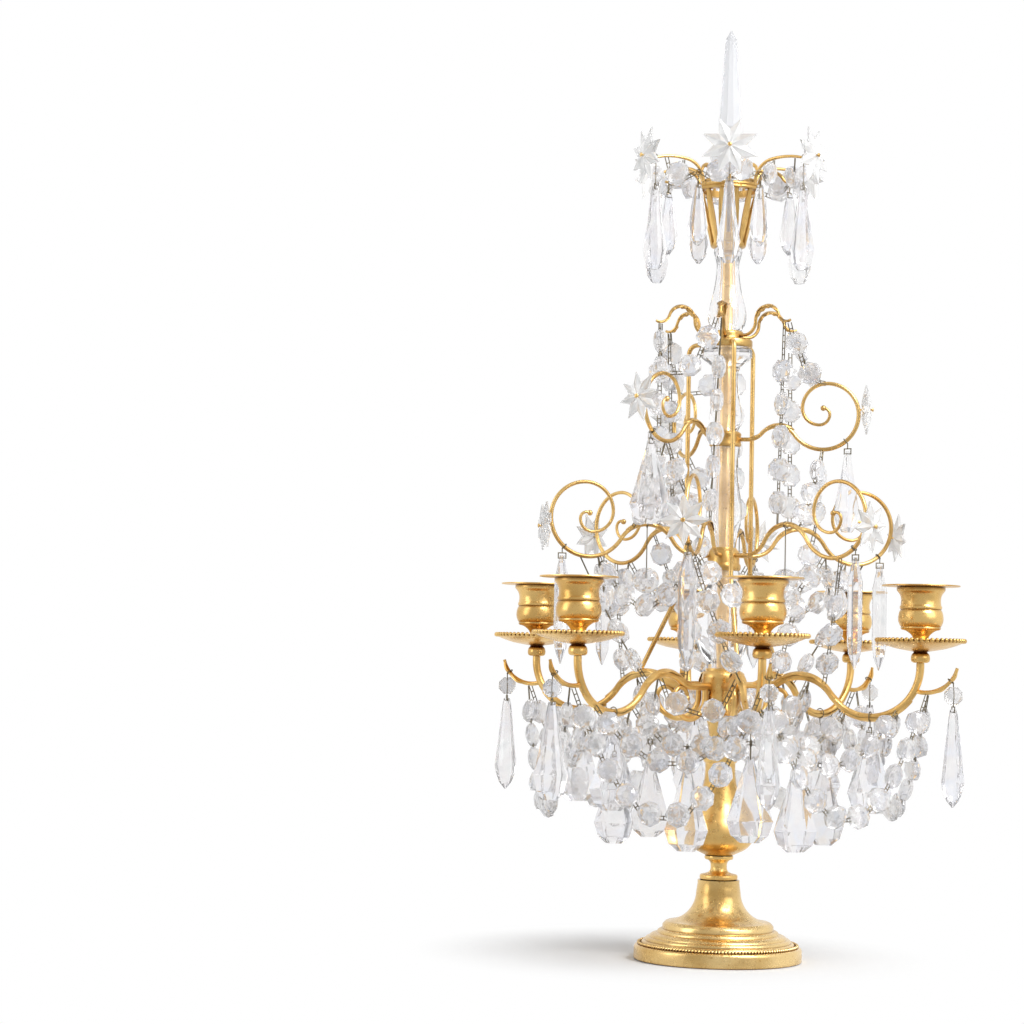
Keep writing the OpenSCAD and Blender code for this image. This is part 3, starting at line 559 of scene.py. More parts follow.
collarLines = {
    "lower_collar": [(12, 297.05, 1), (13, 298, 1), (13.4, 299.4), (13.3, 301.4), (12.5, 302.6, 1),
        (12.3, 303.4, 1), (12.3, 311.6, 1), (11.6, 312.6), (10.4, 313.6), (9.6, 314.9, 1)],
    "middle_collar": [(11, 393.05, 1), (12.2, 394, 1), (12.4, 395, 1), (12.1, 397), (12.1, 401),
        (12.4, 402.8, 1), (11.8, 403.8), (10.4, 404.9, 1)],
    "upper_collar": [(18.4, 470.05, 1), (19.6, 470.6), (20, 471.6, 1), (20, 475, 1), (19.4, 476),
        (18.2, 476.4, 1), (13.6, 476.8, 1), (12.9, 478), (12.9, 481), (12.6, 482), (12, 482.9, 1)],
}
pinLook = dict(r=0.75, out=5, headOut=(4.6, 4.9, 5.3, 5.55), headR=(1.7, 1.7, 1.3, 0.6))


def addPin(batch, place, start, star, look=pinLook):  # holds a star, and its head shows in the middle
    out, z = starSpots[star]
    batch.add(*barShape((start, 0, z), (out + look["out"], 0, z), look["r"], 10), place)
    batch.add(*tubeShape([(out + x, 0, z) for x in look["headOut"]], look["headR"], 14), place)


scrollLook = dict(thick=1.6, thin=1.15, knobR=2.2, leafWidth=6.6, leafThick=0.8, leafRise=1.7, rodR=1.75)


def makeScrolls(look):
    lowLine = wireLine((6.8, 309), 0, [(0, 16.9), (20, 60), (24, -118.8), (30, 148.8), (27, 90), (22, 90),
                                       (16, 90), (10, 90), (5, 120)])
    midLine = wireLine((6.8, 399), 0, [(0, 11.2), (13, 50), (16, -104.4), (27, 144.4), (24, 90), (19, 90),
                                       (13, 90), (8, 90), (5, 90)])
    lowLeaf = arcLine(61.8, 307, 24, 142, 46, 26)
    midLeaf = wireLine((20, 399.2), 4, [(13, 46), (16, -96)])
    for node, line, leaf, turns, pinStart, star in (("lower_scrolls", lowLine, lowLeaf, lowTurns, 136.6, "low"),
                                                    ("middle_scrolls", midLine, midLeaf, midTurns, 101.8, "mid")):
        batch = Batch()
        leaf = shifted(leaf, 0, look["leafRise"])
        radii = taper(len(line), look["thick"], look["thin"], 0.55)
        for a in turns:
            p = turnTo(a)
            batch.add(*wireShape(line, radii, 14), p)
            batch.add(*ballShape(look["knobR"], 14, 10), p @ moveTo(line[-1][0], 0, line[-1][1]))
            batch.add(*leafShape(leaf, look["leafWidth"], look["leafThick"]), p)
            addPin(batch, p, pinStart, star)
        makePiece(node, "gilt", batch, "gilt_wire", 50)
    rods = Batch()
    rodLine = wireLine((10.4, 473.2), 0, [(0, 13.6), (7, -90), (0, 166.2), (40, 27), (0, 67.7)])
    for a in rodTurns:
        rods.add(*wireShape(rodLine, [look["rodR"]] * len(rodLine), 14), turnTo(a))
    makePiece("cage_rods", "gilt", rods, "gilt_wire", 50)


leafLook = dict(width=8.0, thick=0.8, wireR=(1.3, 0.95), tailWidth=5.4, tailThick=0.7)


def makeLeafArms(look):
    batch = Batch()
    line = wireLine((6.8, 479.2), 0, [(0, 10.2), (10, 90), (11, -162), (8, 97)], 1.0)
    leaf = shifted(arcLine(38, 489.2, 11.2, 172, 26, 30), 0, 0.6)
    for a in leafTurns:
        p = turnTo(a)
        batch.add(*wireShape(line, taper(len(line), *look["wireR"], 0.6)), p)
        batch.add(*leafShape(leaf, look["width"], look["thick"], lobes=5, curl=0.42), p)
        batch.add(*leafShape(line[-14:], look["tailWidth"], look["tailThick"], lobes=3, curl=0.3, tipWidth=0.3), p)
    makePiece("leaf_arms", "gilt", batch, "gilt_leaf", 45)


makeTurnings(collarLines, tubeBore, 80, "gilt_collars")
makeScrolls(scrollLook)
makeLeafArms(leafLook)
print("collars, rods, scrolls and leaf arms bent")


# crown: basket of slats, star arms and short leaf arms

crownLook = dict(slats=12, slatR=1.5, slatWidth=6.2, slatThick=0.7, armR=(1.3, 1.0), leafArmR=(1.2, 0.95),
                 leafWidth=6.6, leafThick=0.8)


def makeCrown(look):
    basket, arms, leaves = Batch(), Batch(), Batch()
    floorRing = [(rodBore, 548.05), (11, 548.05), (13.2, 549), (13.5, 550.4), (13.3, 551.9), (rodBore, 552)]
    basket.add(*latheShape(floorRing, 64))
    rim = easeLine([(20, 592.1, 1), (25.2, 592.1, 1), (25.9, 593), (25.5, 594), (25.2, 594.6, 1), (25.9, 595.4),
                    (25.6, 596.6), (25, 596.95, 1), (20, 596.95, 1)], 0.8)
    basket.add(*latheShape(rim))
    slat = easeLine([(12.6, 550.4), (13.4, 556), (14.8, 563), (16.6, 571), (18.8, 580), (21.0, 588),
                     (22.4, 593)], 3)
    face = leafShape(shifted(slat, 0.9, 0), look["slatWidth"], look["slatThick"], lobes=1, curl=0.12,
                     tipWidth=0.55, cut=0.06)
    for k in range(look["slats"]):
        p = turnTo(360 / look["slats"] * (k + 0.5))
        basket.add(*wireShape(slat, [look["slatR"]] * len(slat), 10), p)
        basket.add(*face, p)
    makePiece("crown_basket", "gilt", basket, "gilt_collars", 40)
    armLine = wireLine((23, 593.4), 90, [(0, 4.6), (17, -80), (60, -25), (8, 37)], 1.2)
    leafLine = wireLine((23, 593.4), 90, [(0, 4.6), (10, -150), (6, 90)], 0.9)
    blade = shifted(arcLine(33, 598, 10.2, 150, 34, 24), 0, 0.7)
    for a in crownTurns:
        p = turnTo(a)
        arms.add(*wireShape(armLine, taper(len(armLine), *look["armR"])), p)
        addPin(arms, p, 66.6, "crown")
    for a in crownLeafTurns:
        p = turnTo(a)
        leaves.add(*wireShape(leafLine, taper(len(leafLine), *look["leafArmR"], 0.6)), p)
        leaves.add(*leafShape(blade, look["leafWidth"], look["leafThick"], curl=0.4), p)
    makePiece("crown_arms", "gilt", arms, "gilt_wire", 50)
    makePiece("crown_leaves", "gilt", leaves, "gilt_leaf", 45)


makeCrown(crownLook)
print("crown built")


# the clamped stack inside: rod, nuts and stem tube

stackLook = dict(rodR=3, threadR=2.72, threadPitch=0.7, threads=12, nutR=6, nutHeight=5, nutsAt=(52.3, 552),
                 tubeR=4.8, tubeSpan=(222.05, 547.95))


def makeInside(look):
    rod, nuts, tube = Batch(), Batch(), Batch()
    r, pitch = look["rodR"], look["threadPitch"]
    rodLine = [(axisR, 48), (2.5, 48), (r, 48.6)]
    for k in range(look["threads"]):  # thread turns under the lower nut
        rodLine += [(r, 49 + pitch * k), (look["threadR"], 49 + pitch / 2 + pitch * k)]
    rodLine += [(r, 58), (r, 603.9), (6, 604), (6, 606.9), (r, 607), (r, 613.4), (2.5, 614), (axisR, 614)]
    rod.add(*latheShape(rodLine, 32, closed=False))
    nutR, h = look["nutR"], look["nutHeight"]
    for z in look["nutsAt"]:
        nuts.add(*latheShape([(rodBore, z), (nutR - 1, z), (nutR, z + 0.5), (nutR, z + h - 0.5), (nutR - 1, z + h),
                              (rodBore, z + h)], 6))
    tubeR, (low, high) = look["tubeR"], look["tubeSpan"]
    tube.add(*latheShape([(rodBore, low), (tubeR, low), (tubeR, high), (rodBore, high)], 48))
    makePiece("tie_rod", "steel", rod, "rod_steel", 40)
    makePiece("rod_nuts", "gilt", nuts, "gilt_turned")
    makePiece("stem_tube", "gilt", tube, "gilt_tube", 40)


# glass stem: blown pieces cut into upright panels

glassLines = {
    "lower_glass": [(11.5, 222.05, 1), (11.9, 226, 1), (13.4, 228.6), (16.4, 233), (20, 242), (21.7, 250),
        (22, 257), (21.4, 264), (19.6, 272), (15.6, 282.6), (11.4, 289.6, 1), (12.2, 291.6), (12.4, 293.4, 1),
        (12.4, 296.95, 1)],
    "middle_glass": [(9, 315.05, 1), (9.3, 320, 1), (12, 330), (13.6, 336), (14, 341), (13.5, 348), (12.2, 356),
        (10.2, 368), (9.3, 379), (10.2, 386), (11.3, 392.95, 1)],
    "upper_glass": [(9.4, 405.05, 1), (11.6, 410, 1), (12.6, 416), (12.2, 421), (10.8, 428), (9.2, 438),
        (8.9, 447), (10.6, 455), (17.6, 460.6, 1), (19.8, 463, 1), (19.8, 468.2, 1), (18.2, 469.95, 1)],
    "top_glass": [(10.6, 483.05, 1), (13.6, 487.4, 1), (15, 493), (14.6, 499), (13, 506), (10.6, 516), (9, 528),
        (8.8, 536), (10, 541), (11, 545, 1), (10.6, 547.95, 1)],
}
panelLook = dict(sides=12, parts=4, bore=5.1, roundness=0.25, ballR=15.5, ballAt=621.5, ballSides=16)


def panelGlass(outer, look):  # upright panels outside, a plain round bore inside
    line = easeLine(outer, 3)
    bore = [(look["bore"], line[-1][1]), (look["bore"], line[0][1])]
    steps = look["sides"] * look["parts"]
    wide = 2 * pi / look["sides"]
    turns = [2 * pi * s / steps for s in range(steps)]
    keep = look["roundness"]
    cut = [keep + (1 - keep) * cos(wide / 2) / cos((a % wide) - wide / 2) for a in turns]
    verts = [(r * c * cos(a), r * c * sin(a), z) for r, z in line for c, a in zip(cut, turns)]
    verts += latheShape(bore, steps)[0]
    return verts, gridFaces(len(line) + len(bore), steps, closed=True)


def makeGlassStem(look):
    for node, outer in glassLines.items():
        batch = Batch()
        batch.add(*panelGlass(outer, look))
        makePiece(node, "clear", batch, "stem_glass", 14)
    ball = Batch()
    ballLine = [(rodBore, 607.05)] + arcLine(0, look["ballAt"], look["ballR"], -69, 69, 9)
    ballLine += [(2.5, 635.95), (2.5, 628), (axisR, 628), (axisR, 615), (rodBore, 615)]
    ball.add(*latheShape(ballLine, look["ballSides"]))
    makePiece("glass_ball", "clear", ball, "spire_glass")


def cutRing(t, w, table, edge, z):  # eight corners of a bar with bevelled sides
    return [(t, -w * table, z), (t, w * table, z), (t * edge, w, z), (-t * edge, w, z),
            (-t, w * table, z), (-t, -w * table, z), (-t * edge, -w, z), (t * edge, -w, z)]


spireLook = dict(width=17.5, corner=0.29)


def makeSpire(look):
    w, c = look["width"], look["corner"]
    levels = [(641, w * 0.4), (643, w / 2), (706, 4.9), (713, 4.2), (720, 0.4)]
    verts = [v for z, r in levels for v in cutRing(r, r, c, c, z)]
    peg = [(axisR, 628.5), (2.2, 628.5), (2.2, 636.05), (4.5, 636.05), (4.5, 641.2), (axisR, 641.2)]
    batch = Batch()
    batch.add(verts, gridFaces(len(levels), 8) + endFaces(len(levels), 8))
    batch.add(*latheShape(peg, 24, closed=False))
    makePiece("spire", "clear", batch, "spire_glass")


makeInside(stackLook)
makeGlassStem(panelLook)
makeSpire(spireLook)
print("stem glass, ball and spire cut")


# stars and drops

starLook = dict(crown=45, scroll=38, inner=0.54, ridge=0.34, centre=3.0, ridgeThick=3.7, tipThick=0.6,
                notchThick=1.1, crownTurn=22.5, midLean=0.2, lowLean=0.1)  # the leans are in radians


def starShape(width, look):  # eight ridged points on both sides, with a thin rim
    r = width / 2
    verts, faces = [(look["centre"], 0, 0), (-look["centre"], 0, 0)], []
    for i in range(8):
        point, notch = radians(45 * i), radians(45 * i + 22.5)
        for x in (1, -1):
            for out, thick, turn in ((look["ridge"] * r, look["ridgeThick"], point), (r, look["tipThick"], point),
                                     (look["inner"] * r, look["notchThick"], notch)):
                verts.append((x * thick, out * sin(turn), out * cos(turn)))

    def at(i, x, k):
        return 2 + (i % 8) * 6 + (0 if x == 1 else 3) + k

    for i in range(8):
        for x in (1, -1):
            hub = 0 if x == 1 else 1
            tri = [[hub, at(i, x, 0), at(i, x, 2)], [hub, at(i - 1, x, 2), at(i, x, 0)],
                   [at(i, x, 0), at(i, x, 1), at(i, x, 2)], [at(i, x, 0), at(i - 1, x, 2), at(i, x, 1)]]
            faces += tri if x == -1 else [f[::-1] for f in tri]
        faces.append([at(i, 1, 1), at(i, 1, 2), at(i, -1, 2), at(i, -1, 1)])
        faces.append([at(i, 1, 2), at(i + 1, 1, 1), at(i + 1, -1, 1), at(i, -1, 2)])
    return verts, faces


def makeStars(look):
    batch = Batch()
    big, small = starShape(look["crown"], look), starShape(look["scroll"], look)
    crownLean = radians(look["crownTurn"])
    rows = [(big, "crown", a, crownLean) for a in crownTurns]
    rows += [(small, "mid", a, look["midLean"]) for a in midTurns]
    rows += [(small, "low", a, look["lowLean"] * k) for k, a in enumerate(lowTurns)]
    for shape, key, a, lean in rows:
        out, z = starSpots[key]
        batch.add(*shape, turnTo(a) @ moveTo(out, 0, z) @ Matrix.Rotation(lean, 4, "X"))
    makePiece("stars", "clear", batch, "star_glass")


def cutDrop(levels, table=0.46, edge=0.28):
    # flat table front and back, bevelled sides; levels are (z, half width, half thickness)
    verts, faces = [], []
    for z, w, t in levels:
        verts += cutRing(t, w, table, edge, z)
    n = len(levels)
    for k, (a, b, c, d) in enumerate(gridFaces(n, 8)):
        faces += [[a, d, c], [a, c, b]] if k % 2 else [[a, d, b], [b, d, c]]
    faces.append(list(range(8)))
    faces.append([(n - 1) * 8 + s for s in range(7, -1, -1)])
    return verts, faces


def drilled(shape, r=0.8):  # the hole for the hook pin, cut along the radius
    pin = barShape((-12, 0, 0), (12, 0, 0), r, 10)
    blanks = []
    for name, (verts, faces) in (("drillSolid", shape), ("drillTool", pin)):
        mesh = bpy.data.meshes.new(name)
        mesh.from_pydata(verts, [], faces)
        blanks.append(putInScene(name, mesh))
    solid, tool = blanks
    cut = solid.modifiers.new("hole", "BOOLEAN")
    cut.object = tool
    cut.operation = "DIFFERENCE"
    cut.solver = "EXACT"
    done = solid.evaluated_get(bpy.context.evaluated_depsgraph_get()).to_mesh()
    verts = [tuple(v.co) for v in done.vertices]
    faces = [list(p.vertices) for p in done.polygons]
    for blank in blanks:
        mesh = blank.data
        bpy.data.objects.remove(blank)
        bpy.data.meshes.remove(mesh)
    return verts, faces


def almond(length, w, t):
    return [(2, 2.6, 1.9), (-3, 3.5, 2.4), (-0.4 * length, w * 0.31, t * 0.38), (-0.72 * length, w * 0.5, t * 0.5),
            (-0.88 * length, w * 0.4, t * 0.4), (2 - length, w * 0.2, t * 0.24)]


slimTop = [(2, 2.3, 1.9), (-3, 3.4, 2.4)]  # round the hole of a slim drop
dropLooks = {  # levels, then the shares of the table and of the edge
    "lance": (slimTop + [(-26, 5.8, 3.6), (-51.8, 8.6, 4.9), (-58, 7.4, 4.4), (-64.8, 4.8, 3.2), (-70, 0.6, 0.5)],
              0.4, 0.2),
    "arm": (almond(62, 34, 11),),
    "prong": (almond(70, 25, 11),),
    "wide": (almond(62, 32, 11),),
    "crown": (almond(64, 18, 9), 0.42, 0.3),
    "spear": (slimTop + [(-16, 6.3, 4.9), (-60, 6.3, 4.9), (-68, 5.4, 4.2), (-80, 0.6, 0.5)], 0.42, 0.42),
    "pear": (slimTop + [(-18, 5.6, 3.6), (-30, 7.4, 4.4), (-36, 6.6, 4), (-40, 5, 3.3), (-45, 1.4, 1)], 0.44, 0.3),
}
dropShapes = {key: drilled(cutDrop(*look)) for key, look in dropLooks.items()}


# hooks: middle of the ring, slope and radius of the carrier, pin level, share of the turn to the front

def hookPoint(ring, slope, carrierR, pin, part):
    ringR = carrierR + 0.8
    a = radians(slope)
    return dict(ring=ring, slope=slope, ringR=ringR, x=ring[0] + ringR * sin(a),
                top=ring[1] - ringR * cos(a), pin=pin, part=part)


hooks = dict(
    lance=hookPoint(arcPoint(160, 232, 25, -40), 50, 1.8, 193, 0.8),
    arm=hookPoint((118, 188), 0, 3, 176, 0.75),
    front=hookPoint((118, 188), 0, 3, 157, 0.75),
    crown=hookPoint((65.07, 613.2), 0, 1.3, 588, 0.8),
    scroll=hookPoint(arcPoint(75.2, 418.4, 27, -50), 40, 1.55, 388, 0.35),
    spear=hookPoint(arcPoint(108, 335, 30, -50), 40, 1.55, 303, 0),
    pear=hookPoint((46.86, 600), 0, 1.2, 588, 0.7))
armHooks = ["front"] + ["arm"] * 5


def hangSpot(key, angle, z=None):
    hook = hooks[key]
    return turnTo(angle) @ moveTo(hook["x"], 0, hook["pin"] if z is None else z) @ facing(angle, hook["part"])


def hangDrops(node, shape, spots, body="stand"):
    batch = Batch()
    for p in spots:
        batch.add(*dropShapes[shape], p)
    makePiece(node, "clear", batch, "drop_glass", body=body)


def makeDrops():
    for k in range(6):
        for kind, shape, hook, a in (("lance", "prong" if k == 5 else "lance", "lance", armTurns[k]),
                                     ("crown_drop", "crown", "crown", crownTurns[k]),
                                     ("arm_drop", "arm", armHooks[k], armTurns[k])):
            node = "%s_%d" % (kind, k + 1)
            hangDrops(node, shape, [hangSpot(hook, a)], node)
    for k, a in enumerate(midTurns):
        node = "scroll_drop_%d" % (k + 1)
        hangDrops(node, "wide", [hangSpot("scroll", a)], node)
    hangDrops("spear_drops", "spear", [hangSpot("spear", a) for a in lowTurns])
    hangDrops("pear_drops", "pear", [hangSpot("pear", a) for a in crownLeafTurns])


makeStars(starLook)
makeDrops()
print("stars and drops cut")


# bead strings: both ends, sag, twist, free length at the ends, and distance to the carrier's middle

beadLook = dict(d=17.0, t=10.0, girdle=4.0, pitch=21.5, sway=24)
linkLook = dict(wireR=0.42, railR=0.38, rail=1.3, into=1.0, back=0.5, rungStep=6, longGap=8)
armReach, scrollReach, leafReach = 3.45, 2.0, 1.75


def chain(start, end, sag, twist, leads, reaches):
    return dict(start=ringPoint(*start), end=ringPoint(*end), sag=sag, twist=twist, leads=leads, reaches=reaches)


def between(r, off, z, sag, leads, reaches):  # one swag from each arm to the next
    return [chain((r, a + off, z), (r, b - off, z), sag, 0, leads, reaches) for a, b in armPairs]


shallowSwags = [chain((99, a + 0.3, 193.1), (99, b - 0.3, 193.1), 30, 0, [15 if b - a > 62 else 7] * 2,
                      [armReach] * 2) for a, b in armPairs]
swags = between(162, 0.45, 207.1, 92, (13, 13), (2.25, 2.25)) + shallowSwags
swags += between(140, 0.2, 195, 42, (8, 8), (3.6, 3.6))
swags += between(70, 0.4, 216, 30, (9, 16), (3.55, 3.55))
strings = [chain((48.5 + 8.5 * s, a + 1.5 * s, 615), (46.86, a + 28 * s, 600), 9, 0, (8, 8), (leafReach, 1.65))
           for a in crownTurns for s in (-1, 1)]
strings += [chain((57, a + 28.2 * s, 487.1), (78.2, a + 2 * s, 442.4), 14, 30, (5, 6), (leafReach, scrollReach))
            for a in midTurns for s in (-1, 1)]
strings += [chain((55.1, leafTurns[k] + 3.4 * (k % 2) - 1.7, 487.1), (53.6, lowTurns[k] + 60, 329.5), 0, 80,
                  (26, 6), (leafReach, scrollReach)) for k in range(6)]
strings += [chain((75.2, a + 0.5 * s, 391.4), (73.8, a + turn - 0.2 * s, 327.8), 6, 20, (9, 4.4),
                  (scrollReach, scrollReach)) for a in midTurns for s, turn in ((-1, -35.5), (1, 24.5))]
strings += [chain((115, lowTurns[k], 305.8), (81.6, armTurns[k], 210), 5, 60, (26, 8), (scrollReach, armReach))
            for k in range(6)]
strings += [chain((100.2, a + 0.3, 306), (100.2, a + 59.7, 306), 38, 0, (6, 6), (scrollReach, scrollReach))
            for a in lowTurns]
strings += [chain((74, lowTurns[k] - 0.3, 327.7), (42, armTurns[k - 1] + 0.4, 209.9), 2, 45, (6, 8.5),
                  (scrollReach, armReach)) for k in (0, 2, 4)]


def sagged(s, t):
    return s["start"] + (s["end"] - s["start"]) * t - Vector((0, 0, 4 * s["sag"] * t * (1 - t)))


def beadSpots(s, steps=24):  # both ends, and the beads evenly between them
    points = [sagged(s, i / steps) for i in range(steps + 1)]
    run = [0]
    for i in range(steps):
        run.append(run[-1] + (points[i + 1] - points[i]).length)
    lead = s["leads"][0]
    free = run[-1] - lead - s["leads"][1]
    n = max(1, int(free // beadLook["pitch"]))
    out = [s["start"]]
    for k in range(n):
        goal = lead + (k + 0.5) * free / n
        i = max(j for j in range(steps) if run[j] <= goal)
        out.append(sagged(s, (i + (goal - run[i]) / (run[i + 1] - run[i])) / steps))
    return out + [s["end"]]


def along(p, d, twist):
    lean = radians(90) - asin(max(-1, min(1, d.z)))
    return (Matrix.Translation(p) @ Matrix.Rotation(atan2(d.y, d.x), 4, "Z")
            @ Matrix.Rotation(lean, 4, "Y") @ spin(twist, "Z"))


def beadShape(d, t, girdle):
    # octagon with a girdle, two rows of facets and a small table on each face
    k = 0.5 * d / cos(pi / 8)
    rows = [(k, girdle / 2, 0.5), (k * 0.74, girdle / 2 + (t - girdle) * 0.32, 0), (k * 0.36, t / 2, 0.5)]
    verts, faces = [], []
    for side in (-1, 1):
        start = len(verts)
        for r, y, turn in rows:
            for i in range(8):
                a = 2 * pi * (i + turn) / 8
                verts.append((r * cos(a), side * y, r * sin(a)))
        for row in range(2):
            low = start + row * 8
            for i in range(8):
                a, b = low + i, low + (i + 1) % 8
                c, e = low + 8 + (i + 1 - row) % 8, low + 8 + (i + 2 - row) % 8
                tri = [[a, b, c], [b, e, c]]
                faces += tri if side < 0 else [f[::-1] for f in tri]
        table = [start + 16 + i for i in range(8)]
        faces.append(table if side < 0 else table[::-1])
    for i in range(8):
        faces.append([i, 24 + i, 24 + (i + 1) % 8, (i + 1) % 8])
    return verts, faces


def heading(q, k):
    return (q[k + 1] - q[k - 1]).normalized()


def beadsOn(batch, group):
    shape = beadShape(beadLook["d"], beadLook["t"], beadLook["girdle"])
    for j, s in enumerate(group):
        q = beadSpots(s)
        for k in range(1, len(q) - 1):
            sway = beadLook["sway"] * sin(radians(97 * k + 53 * j))
            batch.add(*shape, along(q[k], heading(q, k), s["twist"] + sway))


def ladderBetween(batch, a, b, twist, rungs):  # two rails with rungs, the way these strings are wired
    place = along(a, (b - a).normalized(), twist)
    h = (b - a).length
    rail, r = linkLook["rail"], linkLook["railR"]
    bars = [((rail * s, 0, 0), (rail * s, 0, h)) for s in (-1, 1)]
    bars += [((-rail, 0, h * (k + 1) / (rungs + 1)), (rail, 0, h * (k + 1) / (rungs + 1))) for k in range(rungs)]
    for c, d in bars:
        batch.add(*barShape(place @ Vector(c), place @ Vector(d), r, 6))


def linksOn(batch, group, look=linkLook):
    into = look["into"]  # how far the wire goes into a bead
    for s in group:
        q = beadSpots(s)
        n = len(q) - 2
        half = [heading(q, k) * beadLook["d"] / 2 for k in range(1, n + 1)]
        for end, first, reach in zip((q[0], q[n + 1]), (q[1] - half[0], q[n] + half[n - 1]), s["reaches"]):
            d = (first - end).normalized()
            rungs = max(1, int((first - end).length / look["rungStep"]))
            ladderBetween(batch, end + d * (reach - look["back"]), first + d * into, s["twist"], rungs)
        for k in range(1, n):
            a, b = q[k] + half[k - 1], q[k + 1] - half[k]
            d = (b - a).normalized()
            rungs = 1 if (b - a).length < look["longGap"] else 2
            ladderBetween(batch, a - d * into, b + d * into, s["twist"], rungs)


def addYoke(batch, place, x, top, pin, turn):
    spot = place @ moveTo(x, 0, pin)
    for a, b in (((0, 0, 4), (0, 0, top - pin)), ((-3.3, 0, 4), (3.3, 0, 4)), ((-3, 0, 0), (-3, 0, 4)),
                 ((3, 0, 0), (3, 0, 4)), ((-3.3, 0, 0), (3.3, 0, 0))):
        batch.add(*barShape(a, b, linkLook["wireR"]), spot @ turn)


def addRing(batch, place, ringR, axis, steps=24):
    path = []
    for k in range(steps + 1):
        a = 2 * pi * k / steps
        path.append(axis @ Vector((ringR * cos(a), ringR * sin(a), 0)))
    batch.add(*tubeShape(path, [linkLook["wireR"]] * len(path), 8), place)


ballLook = dict(r=10, out=61.8, z=288, ringR=2.35, ringAt=331, scrolls=(1, 3, 5))


def addBalls(beads, links, look):
    ball = ballShape(look["r"], 20, 12)
    out = look["out"]
    for k in look["scrolls"]:
        p = turnTo(lowTurns[k])
        beads.add(*ball, p @ moveTo(out, 0, look["z"]))
        addRing(links, p, look["ringR"], moveTo(out, 0, look["ringAt"]) @ spin(90, "Y"))
        links.add(*barShape((out, 0, look["z"] + 1), (out, 0, 328.6), linkLook["wireR"]), p)


def addHooks(links):
    places = [("lance", a) for a in armTurns] + list(zip(armHooks, armTurns)) + [("crown", a) for a in crownTurns]
    places += [("spear", a) for a in lowTurns] + [("pear", a) for a in crownLeafTurns]
    places += [("scroll", a) for a in midTurns]
    for key, a in places:
        h = hooks[key]
        p = turnTo(a)
        x, z = h["ring"]
        addRing(links, p, h["ringR"], moveTo(x, 0, z) @ spin(90 - h["slope"], "Y"))
        addYoke(links, p, h["x"], h["top"], h["pin"], facing(a, h["part"]))


pendantLook = dict(ringR=2.9, pin=147.6, part=0.7)


def addPendants(links, pendants, look):  # one under the middle of each shallow swag
    half = beadLook["d"] / 2
    for s, ends in zip(shallowSwags, armPairs):
        q = beadSpots(s)
        i = (len(q) - 2) // 2
        mid = (q[i] + heading(q, i) * half + q[i + 1] - heading(q, i + 1) * half) / 2
        r = hypot(mid.x, mid.y)
        a = sum(ends) / 2
        p, turn = turnTo(a), facing(a, look["part"])
        addRing(links, p, look["ringR"], moveTo(r, 0, mid.z) @ spin(90, "X"))
        addYoke(links, p, r, mid.z - look["ringR"], look["pin"], turn)
        pendants.add(*dropShapes["wide"], p @ moveTo(r, 0, look["pin"]) @ turn)


smallBeads = dict(lance=(13, 8, 3.4), crown=(12, 7, 3.4))


def makeStrings():
    swagBeads, stringBeads, links, pendants = Batch(), Batch(), Batch(), Batch()
    beadsOn(swagBeads, swags)
    beadsOn(stringBeads, strings)
    for k in range(6):
        for key, a, z in (("lance", armTurns[k], 205), ("crown", crownTurns[k], 600)):
            stringBeads.add(*beadShape(*smallBeads[key]), hangSpot(key, a, z) @ spin(90, "Z"))
    addBalls(stringBeads, links, ballLook)
    linksOn(links, swags)
    linksOn(links, strings)
    addHooks(links)
    addPendants(links, pendants, pendantLook)
    makePiece("swag_beads", "clear", swagBeads, "bead_glass")
    makePiece("string_beads", "clear", stringBeads, "bead_glass")
    makePiece("bead_links", "wire", links, "link_wire", 50)
    makePiece("swag_pendeloques", "clear", pendants, "drop_glass")


makeStrings()
print("bead strings wired")


# camera, from the measured picture

cameraLook = dict(lens=86.3, sensor=36, clip=(0.05, 60), spot=(0.0, -1.9, 0.2175), yaw=4.95, pitch=3.68, roll=1.2)


def makeCamera(look):
    data = bpy.data.cameras.new("viewCamera")
    data.lens = look["lens"]
    data.sensor_width = look["sensor"]
    data.clip_start, data.clip_end = look["clip"]
    cam = putInScene("viewCamera", data)
    cam.matrix_world = (Matrix.Translation(look["spot"]) @ spin(look["yaw"], "Z") @ spin(90 + look["pitch"], "X")
                        @ spin(look["roll"], "Z"))
    bpy.context.scene.camera = cam


# white room: the camera sees plain white, the object sees a darker side towards the camera

roomLook = dict(dark=0.64, bright=0.95, turnOver=(-0.75, 0.15), ambient=0.42)


def makeRoom(look):
    world = bpy.data.worlds.new("whiteRoom")
    bpy.context.scene.world = world
    world.use_nodes = True
    nt = world.node_tree
    nt.nodes.clear()
    path = addNode(nt, "LightPath").outputs
    split = addNode(nt, "SeparateXYZ", Vector=addNode(nt, "TexCoord").outputs["Generated"])
    depth = spanOf(nt, split.outputs["Y"], look["turnOver"], (look["dark"], look["bright"]), "SMOOTHSTEP")
    dim = spanOf(nt, path["Is Diffuse Ray"], (0, 1), (1, look["ambient"]))
    felt = addNode(nt, "Background", Color=depth, Strength=dim).outputs["Background"]
    seen = addNode(nt, "Background", dict(Color=(*plainWhite, 1))).outputs["Background"]
    addNode(nt, "OutputWorld", Surface=mixOf(nt, path["Is Camera Ray"], felt, seen))


# the floor patch, a little below white and set left of the stand, adds a faint painted shadow besides the lamps'
# shadow
floorLook = dict(size=1.1, z=-0.0004, middle=(0.035, -0.04, 0), fade=(0.05, 0.21), tone=0.78,
                 grain=30, grainTone=0.01, roughness=0.9, shine=0.05)


